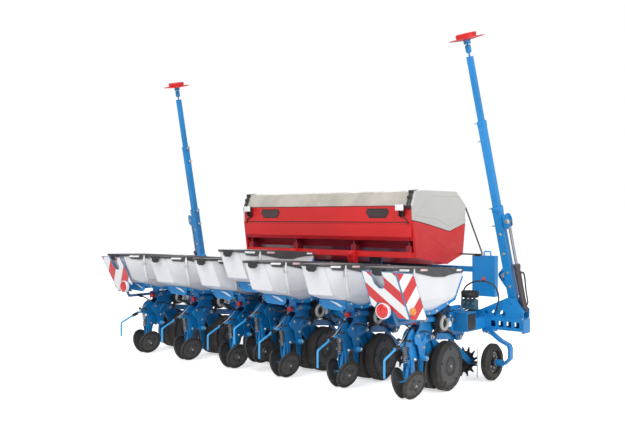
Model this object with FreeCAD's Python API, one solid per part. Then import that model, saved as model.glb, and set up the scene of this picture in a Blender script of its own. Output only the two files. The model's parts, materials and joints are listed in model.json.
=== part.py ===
"""Seven-row mounted precision planter with a telescopic frame, pushed in for transport.

Millimetres, +X to the right, +Y in the direction of travel, +Z up.
Sizes along Y are given from the line on which the closing wheels stand (the row line),
and every solid is moved to the machine's own origin, the middle of its plan at ground level,
when it is written.
"""
import FreeCAD, Part
import math
import os

V = FreeCAD.Vector

# ---------------------------------------------------------------- rows and wings
ROW_PITCH = 750.0                  # working distance between rows
WING_ROWS = (0.5 * ROW_PITCH, 1.5 * ROW_PITCH, 2.5 * ROW_PITCH)
SIDES = {"left": -1.0, "right": 1.0}

# ---------------------------------------------------------------- toolbars
BAR = 180.0                        # square toolbar that carries the row units
BAR_WALL = 10.0
BAR_Y = 810.0                      # its centre line
BAR_Z = 635.0
BAR_END = 2100.0                   # outer end of a wing's toolbar
BAR_GAP = 40.0                     # between a wing's toolbar and the centre one
CENTRE_BAR = 150.0                 # half length of the centre toolbar
SLEEVE = 160.0                     # square outer tube of the telescope
SLEEVE_WALL = 12.0
SLEEVE_HALF = 1200.0
SLEEVE_Y = 1300.0
SLEEVE_Z = 575.0
BEAM = 120.0                       # square inner tube that slides in the sleeve
BEAM_WALL = 8.0
BEAM_INNER = 350.0                 # inner end of a wing's beam
BEAM_END = 2430.0
PAD_LENGTH = 140.0
PAD_GAP = 0.3
LINK_XS = (1330.0, 2000.0)         # plates that tie toolbar and beam together
LINK_THICK = 24.0
SHOE_X = 325.0                     # shoe that runs along the back of the sleeve
SHOE_LENGTH = 100.0

# ---------------------------------------------------------------- row unit
CLAMP_THICK = 16.0
CLAMP_X = 66.0                     # middle of a head plate, from the row's middle
LOWER_PIN = (830.0, 475.0)         # linkage's front pins, as (y, z)
UPPER_PIN = (680.0, 655.0)
LINK_RUN = 510.0                   # from the front pins back to the rear ones
LINK_RISE = 55.0                   # and up
LOWER_ARM_X = 32.0                 # middle of a linkage arm, from the row's middle
UPPER_ARM_X = 82.0
LOWER_ARM_DEPTH = 60.0
UPPER_ARM_DEPTH = 40.0
ARM_THICK = 12.0
PIN_R = 12.0
CENTRE_LIFT = 100.0                # the centre unit hangs this much higher
PLATE_X = 46.0                     # middle of the unit's side plates
PLATE_THICK = 12.0
PLATE_FRONT = 420.0
POST_DEPTH = 50.0
RUNNING_FIT = 0.05

GAUGE_R = 235.0
GAUGE_WIDTH = 110.0
GAUGE_INNER = 45.0                 # inner face of the tyre, from the row's middle
GAUGE_Y = 540.0
GAUGE_RIM_R = 200.0
GAUGE_PIN_R = 12.0
OPENER_R = 190.0
OPENER_Y = 480.0
OPENER_X = 16.0
OPENER_THICK = 4.0
OPENER_HEIGHT = 205.0

CLOSING_R = 142.0
CLOSING_RIM = 14.0                 # radius of the rounded rubber rim
CLOSING_CAMBER = 18.0
CLOSING_TOE = 10.0                 # the wheels stand nearer to each other at the rear
CLOSING_X = 80.0                   # hub, from the row's middle
CLOSING_Y = 10.0
CLOSING_PIN_R = 10.0

# ---------------------------------------------------------------- seed hopper and lid
HOPPER_W = 350.0
HOPPER_NOSE_W = 270.0
HOPPER_NOSE_Y = -430.0
HOPPER_RIDGE_Y = -170.0
HOPPER_FRONT_Y = 715.0
HOPPER_TOP_REAR = 1205.0
HOPPER_TOP_FRONT = 1145.0
HOPPER_BOTTOM = 795.0
HOPPER_WALL = 6.0
MOUTH_RISE = 50.0                  # how far the hollow runs on above the rim, so that the top is open
CRADLE_THICK = 6.0
CRADLE_FLANGE = 32.0
LID_THICK = 5.0
LID_SIDE_GAP = 5.0
LID_REST_GAP = 0.3
LID_DIP = 70.0

# ---------------------------------------------------------------- fertiliser hopper
TANK_HALF = 1240.0
TANK_REAR = 1080.0
TANK_FRONT = 2215.0
TANK_RIM = 1770.0
TANK_LEDGE = 1530.0
TANK_WALL = 8.0
COVER_TOP = 1940.0
COVER_THICK = 12.0
COVER_SIDE_GAP = 5.0
COVER_PIN_R = 4.0
END_CAP = 26.0
HANDRAIL_R = 9.0
HANDRAIL_Y = 2268.0
RAIL_Z = (1203.0, 1265.0)
FASCIA_DROP = 140.0                # the flat band below the ledge, above the bays
FASCIA_THICK = 14.0

# ---------------------------------------------------------------- marker arm
MARKER_FOOT = V(2289.0, 1341.0, 810.0)
MARKER_HUB = V(2104.0, 690.0, 3350.0)
MARKER_TUBES = (80.0, 65.0, 50.0)
MARKER_STEPS = (0.0, 970.0, 1825.0, 2455.0)
MARKER_PIN_R = 16.0
MARKER_DISC_R = 165.0
CYLINDER_FOOT_OUT = 95.0           # foot of the cylinder, out from the arm's pivot
CYLINDER_FOOT_DROP = 110.0         # and below it
CYLINDER_PIN_R = 12.0
CYLINDER_HEAD_AT = 820.0          # rod's eye, along the arm
CYLINDER_BARREL = 480.0
CYLINDER_R = 30.0
CYLINDER_ROD_R = 14.0
CYLINDER_ROD_INSIDE = 310.0        # rod's hidden end, above the foot
ARM_FOOT_HALF = 36.0               # half thickness of the arm's foot
SEAT_GAP = 24.0                    # between the foot and its seat's plates
SEAT_THICK = 14.0

# ---------------------------------------------------------------- support wheel
SUPPORT_R = 185.0
SUPPORT_WIDTH = 90.0
SUPPORT_X = 2100.0
SUPPORT_Y = 1240.0
SUPPORT_PIN_R = 14.0
SUPPORT_ARM_X = 2298.0             # outer side of its bent arm

# ---------------------------------------------------------------- hitch
HITCH_Y = 2020.0
HITCH_Z = 430.0
HITCH_SPAN = 825.0                 # between the shoulders of the lower links
HITCH_BORE_R = 14.4                # category 2 lower link pin, 28 mm, with its clearance
HITCH_JAW = 60.0
EAR_THICK = 15.0
MAST_HEIGHT = 610.0
TOP_BORE_R = 12.9                  # category 2 top link pin, 25.4 mm, with its clearance
TOP_JAW = 52.0

# ---------------------------------------------------------------- warning panels
PANEL_X = (1705.0, 2075.0)
PANEL_Y = (-480.0, -244.0)         # at the top and bottom edge
PANEL_Z = (1185.0, 752.0)
PANEL_THICK = 4.0
LAMP_R = 70.0

REAR_END = PANEL_Y[0] - PANEL_THICK
FRONT_END = HANDRAIL_Y + HANDRAIL_R
MIDDLE_Y = (REAR_END + FRONT_END) / 2


# ================================================================ helpers
def box(x, y, z):
    """A block between pairs of limits along X, Y and Z."""
    low = V(min(x), min(y), min(z))
    return Part.makeBox(max(x) - low.x, max(y) - low.y, max(z) - low.z, low)


def cylinder(start, end, radius):
    """A round bar between two points."""
    axis = end - start
    return Part.makeCylinder(radius, axis.Length, start, axis)


def prism(points, x0, x1):
    """A side profile of (y, z) points, extruded from x0 to x1."""
    wire = Part.makePolygon([V(x0, y, z) for y, z in points + points[:1]])
    return Part.Face(wire).extrude(V(x1 - x0, 0, 0))


def profile_face(points, offset=0.0):
    """The face of a convex (y, z) profile at x = 0, moved out by offset."""
    wire = Part.makePolygon([V(0, y, z) for y, z in points + points[:1]])
    face = Part.Face(wire)
    if offset:
        face = Part.Face(face.OuterWire.makeOffset2D(offset, 2))
    return face


def capsule(a, b, radius, x0, x1):
    """A link plate with round ends about two (y, z) points."""
    start, end = V(x0, a[0], a[1]), V(x0, b[0], b[1])
    run = end - start
    side = V(0, -run.z, run.y).normalize() * radius
    wire = Part.makePolygon([start + side, end + side, end - side, start - side, start + side])
    plate = Part.Face(wire).extrude(V(x1 - x0, 0, 0))
    depth = V(x1 - x0, 0, 0)
    return plate.multiFuse([cylinder(start, start + depth, radius),
                            cylinder(end, end + depth, radius)])


def square_tube(size, wall, x0, x1, y, z):
    """A square tube along X."""
    half, inner = size / 2, size / 2 - wall
    outer = box((x0, x1), (y - half, y + half), (z - half, z + half))
    return outer.cut(box((x0 - 1, x1 + 1), (y - inner, y + inner), (z - inner, z + inner)))


def rod_path(points, radius, bend=None):
    """A round bar through points, its corners bent to a radius, or as wide as its runs allow."""
    edges = []
    here = points[0]
    for before, corner, after in zip(points, points[1:], points[2:]):
        back = (before - corner).normalize()
        ahead = (after - corner).normalize()
        half = back.getAngle(ahead) / 2
        shorter = min((before - corner).Length, (after - corner).Length)
        turn = bend or 0.45 * shorter * math.tan(half)
        trim = turn / math.tan(half)
        middle = (back + ahead).normalize() * (turn / math.sin(half) - turn)
        start, end = corner + back * trim, corner + ahead * trim
        edges.append(Part.LineSegment(here, start).toShape())
        edges.append(Part.Arc(start, corner + middle, end).toShape())
        here = end
    edges.append(Part.LineSegment(here, points[-1]).toShape())
    circle = Part.Wire(Part.Circle(points[0], points[1] - points[0], radius).toShape())
    return Part.Wire(edges).makePipeShell([circle], True, True)


def fuse(shapes):
    """One shape of all the given ones, with its seams removed."""
    first, rest = shapes[0], shapes[1:]
    if not rest:
        return first
    return first.multiFuse(rest).removeSplitter()


def moved(shape, x=0.0, y=0.0, z=0.0):
    """A copy of a shape, moved."""
    copy = shape.copy()
    copy.translate(V(x, y, z))
    return copy


def mirrored(shape, side):
    """The shape itself on the right, and its mirror image on the left."""
    return shape if side > 0 else shape.mirror(V(0, 0, 0), V(1, 0, 0))


def both_ways(shape):
    """A shape and its mirror image across the row's middle plane."""
    return [shape, shape.mirror(V(0, 0, 0), V(1, 0, 0))]


def write(name, shapes):
    """Write one node, its solids moved to the machine's own origin."""
    solids = [solid for shape in shapes for solid in shape.Solids]
    shape = solids[0] if len(solids) == 1 else Part.makeCompound(solids)
    moved(shape, y=-MIDDLE_Y).exportStep(f"parts/{name}.step")


# ================================================================ row unit
def lift_shift():
    """How far a unit moves forward and up when its linkage is raised."""
    length = math.hypot(LINK_RUN, LINK_RISE)
    run = math.sqrt(length ** 2 - (LINK_RISE + CENTRE_LIFT) ** 2)
    return LINK_RUN - run, CENTRE_LIFT


def head_plate():
    """The right head plate, a hook right round the toolbar that holds the linkage's front pins."""
    bar_back, bar_front = BAR_Y - BAR / 2, BAR_Y + BAR / 2
    low, high = BAR_Z - BAR / 2, BAR_Z + BAR / 2
    x0, x1 = CLAMP_X - CLAMP_THICK / 2, CLAMP_X + CLAMP_THICK / 2
    outline = [(bar_back - 75, high - 100), (bar_back - 75, high - 20), (bar_back - 40, high + 62),
               (bar_front - 50, high + 62), (bar_front + 50, high - 10), (bar_front + 68, low + 60),
               (bar_front + 30, low - 60), (bar_front - 20, low - 105), (bar_back + 75, low - 105),
               (bar_back + 50, low - 50), (bar_back - 50, low + 20)]
    plate = prism(outline, x0, x1)
    corners = [edge for edge in plate.Edges if abs(edge.tangentAt(0).x) > 0.9]
    plate = plate.makeFillet(24, corners)
    return plate.cut(box((x0 - 1, x1 + 1), (bar_back, bar_front), (low, high)))


def linkage(dy, dz):
    """The unit's head on the toolbar and its four parallel arms, raised by dz."""
    bar_back = BAR_Y - BAR / 2
    low, high = BAR_Z - BAR / 2, BAR_Z + BAR / 2
    head = box((-CLAMP_X, CLAMP_X), (bar_back - CLAMP_THICK, bar_back), (low, high + 45))
    cap = box((-CLAMP_X, CLAMP_X), (bar_back, BAR_Y + BAR / 2 - 30), (high, high + CLAMP_THICK))
    pieces = both_ways(head_plate()) + [head, cap]
    links = ((LOWER_PIN, LOWER_ARM_X, LOWER_ARM_DEPTH), (UPPER_PIN, UPPER_ARM_X, UPPER_ARM_DEPTH))
    for (y, z), x, depth in links:
        rear = (y - LINK_RUN + dy, z + LINK_RISE + dz)
        arm = capsule((y, z), rear, depth / 2, x - ARM_THICK / 2, x + ARM_THICK / 2)
        pieces += both_ways(arm)
        reach = max(x, CLAMP_X) + ARM_THICK
        for pin_y, pin_z in ((y, z), rear):
            pieces += both_ways(cylinder(V(20, pin_y, pin_z), V(reach, pin_y, pin_z), PIN_R))
    return pieces


def strap(points, thick, y0, y1):
    """A flat bar bent through (x, z) points, with rounded corners."""
    pieces = []
    for (xa, za), (xb, zb) in zip(points, points[1:]):
        start, end = V(xa, y0, za), V(xb, y0, zb)
        run = end - start
        side = V(-run.z, 0, run.x).normalize() * (thick / 2)
        wire = Part.makePolygon([start + side, end + side, end - side, start - side, start + side])
        pieces.append(Part.Face(wire).extrude(V(0, y1 - y0, 0)))
        pieces.append(cylinder(end, end + V(0, y1 - y0, 0), thick / 2))
    return fuse(pieces)


def unit_frame():
    """The unit's side plates, opener shank, wheel arms, rear casting and drag rod."""
    rear_lower = (LOWER_PIN[0] - LINK_RUN, LOWER_PIN[1] + LINK_RISE)
    link_y = rear_lower[0] + 42
    plate = prism([(PLATE_FRONT, 735), (PLATE_FRONT, 640), (link_y, 570), (link_y, 500), (250, 480),
                   (235, 335), (200, 310), (165, 335), (120, 470), (70, 500), (55, 560), (150, 640),
                   (150, 735)], PLATE_X - PLATE_THICK / 2, PLATE_X + PLATE_THICK / 2)
    boss_axle = cylinder(V(0, 200, 350), V(98, 200, 350), 24)
    bridge = box((-PLATE_X, PLATE_X), (150, 300), (505, 530))
    block = box((-52, 52), (150, 180), (660, 735))
    shank = prism([(PLATE_FRONT, 560), (OPENER_Y + 35, OPENER_HEIGHT), (OPENER_Y - 35, OPENER_HEIGHT),
                   (250, 530), (250, 560)], -10, 10)
    heel = prism([(200, 360), (245, 95), (272, 95), (282, 360)], -8, 8)
    boss_end = OPENER_X - OPENER_THICK / 2
    boss = cylinder(V(-boss_end, OPENER_Y, OPENER_HEIGHT), V(boss_end, OPENER_Y, OPENER_HEIGHT), 36)
    arm = capsule((GAUGE_Y, GAUGE_R), (400, 525), 26, 28, 40)
    pin = cylinder(V(28, GAUGE_Y, GAUGE_R), V(GAUGE_INNER + GAUGE_WIDTH - 18, GAUGE_Y, GAUGE_R), GAUGE_PIN_R)
    casting = prism([(40, 560), (130, 560), (200, 360), (110, 330), (60, 160), (20, 130), (0, 150),
                     (20, 300)], -16, 16)
    fork = strap([(8, 440), (38, 330), (44, 240), (30, 178)], 12, 18, 66)
    rod = rod_path([V(0, 90, 500), V(0, 10, 520), V(0, -170, 475), V(0, -350, 400), V(0, -350, 240)], 10, 26)
    grip = cylinder(V(0, -120, 488), V(0, -185, 469), 19)
    pieces = both_ways(plate) + [bridge, block, shank, heel, boss, casting, rod, grip]
    for piece in (arm, pin, fork, boss_axle, closing_pin()):
        pieces += both_ways(piece)
    pieces.append(box((-PLATE_X, PLATE_X), (60, 120), (530, 560)))
    return pieces


def closing_frame():
    """Placement of the right closing wheel: its hub and its axle's direction, pointing out."""
    camber, toe = math.radians(CLOSING_CAMBER), math.radians(CLOSING_TOE)
    axle = V(math.cos(camber) * math.cos(toe), -math.cos(camber) * math.sin(toe), -math.sin(camber))
    lowest = (CLOSING_R - CLOSING_RIM) * math.sqrt(1 - axle.z ** 2) + CLOSING_RIM
    return V(CLOSING_X, CLOSING_Y, lowest), axle


def closing_pin():
    """The right closing wheel's stub axle, from the casting to the hub's outer face."""
    hub, axle = closing_frame()
    inner = hub - axle * (hub.x / axle.x)
    return cylinder(inner, hub + axle * 14, CLOSING_PIN_R)


def row_frame(dy=0.0, dz=0.0):
    """One unit's whole frame, and the straight runs of the hopper's cradle on it."""
    unit = fuse(unit_frame() + cradle_posts())
    return [fuse(linkage(dy, dz) + [moved(unit, y=dy, z=dz)])] + [moved(run, y=dy, z=dz) for run in cradle()]


def hopper_profile():
    """The hopper's side outline as (y, z) points."""
    return [(HOPPER_NOSE_Y, HOPPER_TOP_REAR), (-300, 915), (60, 805), (130, HOPPER_BOTTOM),
            (230, HOPPER_BOTTOM), (560, 880), (HOPPER_FRONT_Y, 1095), (HOPPER_FRONT_Y, HOPPER_TOP_FRONT)]


def hopper_block(offset=0.0, rise=0.0):
    """The hopper's outer block, moved in by a negative offset and carried on above the rim by a rise."""
    outline = hopper_profile()
    outline[0] = (nose_line(HOPPER_TOP_REAR + rise), HOPPER_TOP_REAR + rise)
    outline[-1] = (HOPPER_FRONT_Y, HOPPER_TOP_FRONT + rise)
    side = profile_face(outline, offset)
    half = HOPPER_W / 2 + offset
    block = side.extrude(V(2 * half, 0, 0))
    block.translate(V(-half, 0, 0))
    nose = HOPPER_NOSE_W / 2 + offset
    lean = V(0, 150, -620)
    plan = [(-nose, HOPPER_NOSE_Y - 20), (-half, HOPPER_RIDGE_Y), (-half, 2000), (half, 2000),
            (half, HOPPER_RIDGE_Y), (nose, HOPPER_NOSE_Y - 20)]
    top = HOPPER_TOP_REAR
    wire = Part.makePolygon([V(x, y - lean.y * 0.1, top - lean.z * 0.1) for x, y in plan + plan[:1]])
    sheath = Part.Face(wire).extrude(lean * 1.1)
    taper = Part.makePolygon([V(-half, -1000, 2000), V(-half, -1000, 900), V(-half + 45, -1000, 780),
                              V(half - 45, -1000, 780), V(half, -1000, 900), V(half, -1000, 2000),
                              V(-half, -1000, 2000)])
    block = block.common(sheath).common(Part.Face(taper).extrude(V(0, 3000, 0)))
    return block


def seed_hopper():
    """The hollow seed hopper, open at the top, with its hinge lugs."""
    shell = hopper_block().cut(hopper_block(-HOPPER_WALL, MOUTH_RISE))
    y, z = hinge_line()
    lug = capsule((y, z), (HOPPER_FRONT_Y - 4, z - 34), 9, 60, 72)
    lug = lug.cut(cylinder(V(50, y, z), V(80, y, z), 5 + RUNNING_FIT))
    return fuse([shell] + both_ways(lug))


def nose_line(z):
    """The hopper's sloping rear face, as its y at a height."""
    (y0, z0), (y1, z1) = hopper_profile()[:2]
    return y0 + (y1 - y0) * (z - z0) / (z1 - z0)


def hinge_line():
    """The seed lid's hinge, as its (y, z)."""
    return HOPPER_FRONT_Y + 14, HOPPER_TOP_FRONT + 2


def lid_drop(y):
    """Height of the lid's underside at y."""
    slope = (HOPPER_TOP_FRONT - HOPPER_TOP_REAR) / (HOPPER_FRONT_Y - HOPPER_NOSE_Y)
    return HOPPER_TOP_REAR + slope * (y - HOPPER_NOSE_Y) + LID_REST_GAP


def seed_lid():
    """The lid: a sloping cap with a skirt that dips along each side, and its latch."""
    half = HOPPER_W / 2 + LID_SIDE_GAP + LID_THICK
    nose = HOPPER_NOSE_W / 2 + LID_SIDE_GAP + LID_THICK
    rear = HOPPER_NOSE_Y - LID_SIDE_GAP - LID_THICK
    front = HOPPER_FRONT_Y - 2
    crown = (rear + front) / 2
    skin = LID_THICK + 3
    roof = prism([(rear, lid_drop(rear)), (front, lid_drop(front)), (front, lid_drop(front) + skin),
                  (crown, lid_drop(crown) + skin + 11), (rear, lid_drop(rear) + skin)], -half, half)
    low_y = 360.0
    ridge = HOPPER_RIDGE_Y
    skirt_line = [(rear, lid_drop(rear) - 16), (rear + 85, lid_drop(rear) - 18),
                  (rear + 112, lid_drop(rear) - 46), (ridge - 26, lid_drop(ridge) - 46),
                  (ridge - 6, lid_drop(ridge) - 24),
                  (low_y - 200, lid_drop(low_y) - LID_DIP + 12), (low_y, lid_drop(low_y) - LID_DIP),
                  (low_y + 90, lid_drop(low_y) - LID_DIP + 14), (front - 140, lid_drop(front) - 30),
                  (front, lid_drop(front) - 30)]
    skirt = prism(skirt_line + [(front, lid_drop(front) + 1), (rear, lid_drop(rear) + 1)], -half, half)
    plan = [(-nose, rear), (-half, HOPPER_RIDGE_Y), (-half, front), (half, front), (half, HOPPER_RIDGE_Y),
            (nose, rear)]
    outline = Part.Face(Part.makePolygon([V(x, y, 1000) for x, y in plan + plan[:1]])).extrude(V(0, 0, 300))
    inside = [(-nose + LID_THICK, rear + LID_THICK), (-half + LID_THICK, HOPPER_RIDGE_Y),
              (-half + LID_THICK, front + 40), (half - LID_THICK, front + 40),
              (half - LID_THICK, HOPPER_RIDGE_Y), (nose - LID_THICK, rear + LID_THICK)]
    floor = Part.makePolygon([V(x, y, 1000) for x, y in inside + inside[:1]])
    hollow = Part.Face(floor).extrude(V(0, 0, 300))
    under = prism([(rear - 50, 1000), (front + 90, 1000), (front + 90, lid_drop(front + 90)),
                   (rear - 50, lid_drop(rear - 50))], -300, 300)
    cap = fuse([roof, skirt]).common(outline).cut(hollow.common(under))
    latch = box((-32, 32), (rear - 8, rear + LID_THICK), (lid_drop(rear) - 62, lid_drop(rear) + 4))
    y, z = hinge_line()
    knuckle = cylinder(V(-56, y, z), V(56, y, z), 9)
    leaf = box((-56, 56), (front - 10, y), (z, z + 9))
    pin = cylinder(V(-74, y, z), V(74, y, z), 5)
    return fuse([cap, latch, knuckle, leaf, pin])


def cradle():
    """The folded sheet that carries the hopper, with its hexagonal windows and side flanges."""
    half = HOPPER_W / 2 - 12
    profile = hopper_profile()
    sheet = profile_face(profile, CRADLE_THICK).extrude(V(2 * half, 0, 0))
    sheet.translate(V(-half, 0, 0))
    flange = profile_face(profile, CRADLE_FLANGE).extrude(V(CRADLE_THICK, 0, 0))
    window = box((-half + CRADLE_THICK, half - CRADLE_THICK), (-600, 900), (600, 1300))
    inner = profile_face(profile).extrude(V(600, 0, 0))
    inner.translate(V(-300, 0, 0))
    keep = prism([(-120, 850), (-150, 760), (160, 700), (600, 800), (780, 1080), (HOPPER_FRONT_Y, 1080),
                  (560, 880), (130, 800)], -300, 300)
    flanges = fuse([moved(flange, x=-half), moved(flange, x=half - CRADLE_THICK)])
    body = sheet.common(window).fuse(flanges).common(keep).cut(inner)
    holes = [hexagon(x, y0, y1) for x in (-70, 70) for y0, y1 in ((-70, 50), (300, 480))]
    for hole in holes:
        body = body.cut(hole)
    corners = [y for y, z in profile if z < profile[1][1]]
    runs = []
    for start, end in zip([-2000.0] + corners, corners + [2000.0]):
        runs += body.common(box((-half - 1, half + 1), (start, end), (600, 1300))).Solids
    return runs


def cradle_posts():
    """The two posts that carry the cradle, before they are trimmed to its underside."""
    post = box((-PLATE_X, PLATE_X), (150, 180), (725, HOPPER_BOTTOM))
    post_rear = PLATE_FRONT - POST_DEPTH
    front_post = prism([(post_rear, 730), (PLATE_FRONT, 730), (PLATE_FRONT, 860), (post_rear, 860)],
                       -PLATE_X - PLATE_THICK / 2, PLATE_X + PLATE_THICK / 2)
    under = profile_face(hopper_profile(), CRADLE_THICK).extrude(V(600, 0, 0))
    under.translate(V(-300, 0, 0))
    return [piece.cut(under) for piece in (post, front_post)]


def hexagon(x, y0, y1):
    """A six-sided window through the cradle, seen from below."""
    middle, half, wide = (y0 + y1) / 2, (y1 - y0) / 2, 45.0
    points = [(x - wide, middle), (x - wide * 0.6, middle - half), (x + wide * 0.6, middle - half),
              (x + wide, middle), (x + wide * 0.6, middle + half), (x - wide * 0.6, middle + half)]
    wire = Part.makePolygon([V(px, py, 600) for px, py in points + points[:1]])
    return Part.Face(wire).extrude(V(0, 0, 400))


def seed_meter():
    """The meter's round housing, its curled air hose and the two knobs behind it."""
    y, z = 430.0, 655.0
    housing = cylinder(V(94, y, z), V(122, y, z), 92)
    rim = cylinder(V(122, y, z), V(128, y, z), 78)
    stub_x = PLATE_X + PLATE_THICK / 2
    stub = cylinder(V(stub_x, y - 30, 722), V(96, y - 30, 722), 10)
    curl = Part.makeTorus(58, 17, V(144, y, z), V(1, 0, 0), -180, 180, 290)
    knob = cylinder(V(0, 150, 690), V(0, 128, 690), 10).fuse(cylinder(V(0, 130, 690), V(0, 96, 690), 28))
    small = cylinder(V(-44, 150, 675), V(-44, 112, 675), 12)
    return [fuse([housing, rim, stub, curl]), knob, small]


def opener():
    """The two opener discs of a unit."""
    discs = []
    for x in (-OPENER_X, OPENER_X):
        start = V(x - OPENER_THICK / 2, OPENER_Y, OPENER_HEIGHT)
        discs.append(cylinder(start, start + V(OPENER_THICK, 0, 0), OPENER_R))
    return discs


def row_cleaner():
    """The pair of star wheels that clear the row ahead, on an arm from the toolbar's underside."""
    stars = [star(V(60, 1230, 160), 28), star(V(-60, 1200, 160), -28)]
    low = BAR_Z - BAR / 2
    arm = prism([(BAR_Y - 40, low), (BAR_Y + 40, low), (BAR_Y + 40, 420), (1215, 185), (1215, 140),
                 (1180, 140), (BAR_Y - 40, 400)], -12, 12)
    axles = [cylinder(V(0, 1215, 160), V(60, 1230, 160), 14),
             cylinder(V(0, 1200, 160), V(-60, 1200, 160), 14)]
    return [fuse([arm] + stars + axles)]


def star(centre, turn):
    """A toothed steel wheel in an upright plane, turned from the direction of travel."""
    teeth, outer, inner = 12, 155.0, 110.0
    points = []
    for step in range(teeth):
        for share, radius in ((0.0, inner), (0.32, outer), (0.46, outer), (0.6, inner)):
            angle = 2 * math.pi * (step + share) / teeth
            points.append(V(0, radius * math.cos(angle), radius * math.sin(angle)))
    wheel = Part.Face(Part.makePolygon(points + points[:1])).extrude(V(6, 0, 0))
    wheel.rotate(V(0, 0, 0), V(0, 0, 1), turn)
    wheel.translate(centre)
    return wheel


# ================================================================ wheels
def gauge_wheels():
    """A row's two depth wheels, dished outward, each with its bored hub."""
    inner, outer = GAUGE_INNER, GAUGE_INNER + GAUGE_WIDTH
    shoulder = 22.0
    profile = [V(inner, 186, 0), V(inner, GAUGE_R - shoulder, 0), V(inner + shoulder, GAUGE_R, 0),
               V(outer - shoulder, GAUGE_R, 0), V(outer, GAUGE_R - shoulder, 0), V(outer, GAUGE_RIM_R, 0),
               V(outer - 6, GAUGE_RIM_R - 6, 0), V(outer - 6, GAUGE_PIN_R + 26, 0),
               V(outer - 2, GAUGE_PIN_R + 22, 0), V(outer - 2, 0, 0), V(outer - 16, 0, 0),
               V(outer - 16, GAUGE_PIN_R + RUNNING_FIT, 0), V(inner, GAUGE_PIN_R + RUNNING_FIT, 0),
               V(inner, 34, 0), V(outer - 16, 34, 0), V(outer - 16, 186, 0)]
    face = Part.Face(Part.makePolygon(profile + profile[:1]))
    wheel = face.revolve(V(0, 0, 0), V(1, 0, 0), 360)
    return [moved(shape, y=GAUGE_Y, z=GAUGE_R) for shape in both_ways(wheel)]


def closing_wheel():
    """The right closing wheel: a pressed disc with a rounded rubber rim, on its tilted axle."""
    rim = CLOSING_RIM
    centre = CLOSING_R - rim
    bore = CLOSING_PIN_R + RUNNING_FIT
    disc = [V(-4, 30, 0), V(-4, centre, 0), V(8, centre, 0), V(10, centre - 20, 0), V(6, 40, 0),
            V(24, 30, 0), V(24, 0, 0), V(16, 0, 0), V(16, bore, 0), V(-14, bore, 0), V(-14, 26, 0)]
    face = Part.Face(Part.makePolygon(disc + disc[:1]))
    body = face.revolve(V(0, 0, 0), V(1, 0, 0), 360)
    tyre = Part.makeTorus(centre, rim, V(0, 0, 0), V(1, 0, 0))
    wheel = body.fuse(tyre)
    hub, axle = closing_frame()
    wheel.Placement = FreeCAD.Placement(hub, FreeCAD.Rotation(V(1, 0, 0), axle))
    return wheel


def support_wheel():
    """The right front support wheel with its bored hub."""
    half = SUPPORT_WIDTH / 2
    bore = SUPPORT_PIN_R + RUNNING_FIT
    profile = [V(-half, 120, 0), V(-half, SUPPORT_R - 26, 0), V(-half + 26, SUPPORT_R, 0),
               V(half - 26, SUPPORT_R, 0), V(half, SUPPORT_R - 26, 0), V(half, 120, 0), V(6, 110, 0),
               V(6, 40, 0), V(half, 36, 0), V(half, bore, 0), V(-half + 12, bore, 0), V(-half + 12, 36, 0),
               V(-6, 40, 0), V(-6, 110, 0)]
    wheel = Part.Face(Part.makePolygon(profile + profile[:1])).revolve(V(0, 0, 0), V(1, 0, 0), 360)
    return moved(wheel, x=SUPPORT_X, y=SUPPORT_Y, z=SUPPORT_R)


# ================================================================ frame
def main_frame():
    """The telescope's sleeve, the centre toolbar and the posts of the fertiliser hopper."""
    back, front = SLEEVE_Y - SLEEVE / 2, SLEEVE_Y + SLEEVE / 2
    top = SLEEVE_Z + SLEEVE / 2
    sleeve = square_tube(SLEEVE, SLEEVE_WALL, -SLEEVE_HALF, SLEEVE_HALF, SLEEVE_Y, SLEEVE_Z)
    centre = square_tube(BAR, BAR_WALL, -CENTRE_BAR, CENTRE_BAR, BAR_Y, BAR_Z)
    tie = box((92, 116), (BAR_Y + BAR / 2, back), (SLEEVE_Z - 50, SLEEVE_Z + 70))
    pieces = [sleeve, centre] + both_ways(tie)
    post = box((600, 700), (back, back + 100), (top, RAIL_Z[0]))
    beam = box((610, 690), (back + 60, 2120), (940, 1020))
    riser = prism([(2050, 1000), (2120, 1000), (2120, tank_floor(2120)), (2050, tank_floor(2050))], 610, 690)
    strut = prism([(front, 520), (front, 640), (1900, 942), (2020, 942)], 630, 670)
    for piece in (post, beam, riser, strut):
        pieces += both_ways(piece)
    return [fuse(pieces)]


def headstock():
    """The three-point hitch: lower jaws and mast, each with two bored ears."""
    front = SLEEVE_Y + SLEEVE / 2
    inner = HITCH_SPAN / 2 - HITCH_JAW / 2
    top = HITCH_Z + MAST_HEIGHT
    ears = []
    for x in (inner - EAR_THICK, inner + HITCH_JAW):
        ear = prism([(front, 495), (front, 655), (HITCH_Y - 40, 560), (HITCH_Y + 45, HITCH_Z + 40),
                     (HITCH_Y + 45, HITCH_Z - 40), (HITCH_Y - 60, HITCH_Z - 45)], x, x + EAR_THICK)
        ears += both_ways(ear.cut(cylinder(V(x - 1, HITCH_Y, HITCH_Z), V(x + EAR_THICK + 1, HITCH_Y, HITCH_Z),
                                           HITCH_BORE_R)))
    cross = box((-inner - HITCH_JAW, inner + HITCH_JAW), (HITCH_Y - 190, HITCH_Y - 110), (470, 550))
    x0, x1 = TOP_JAW / 2, TOP_JAW / 2 + EAR_THICK
    hole = cylinder(V(x0 - 1, top_pin_y(), top), V(x1 + 1, top_pin_y(), top), TOP_BORE_R)
    mast = prism([(HITCH_Y - 190, 550), (HITCH_Y - 110, 550), (HITCH_Y - 5, top + 30),
                  (HITCH_Y - 65, top + 30)], x0, x1).cut(hole)
    brace = prism([(front, 560), (front, 655), (HITCH_Y - 85, top + 20), (HITCH_Y - 85, top - 60)], x0, x1)
    return [fuse(ears + [cross] + both_ways(mast) + both_ways(brace))]


def top_pin_y():
    """Where the top link's bore stands."""
    return HITCH_Y - 35


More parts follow.
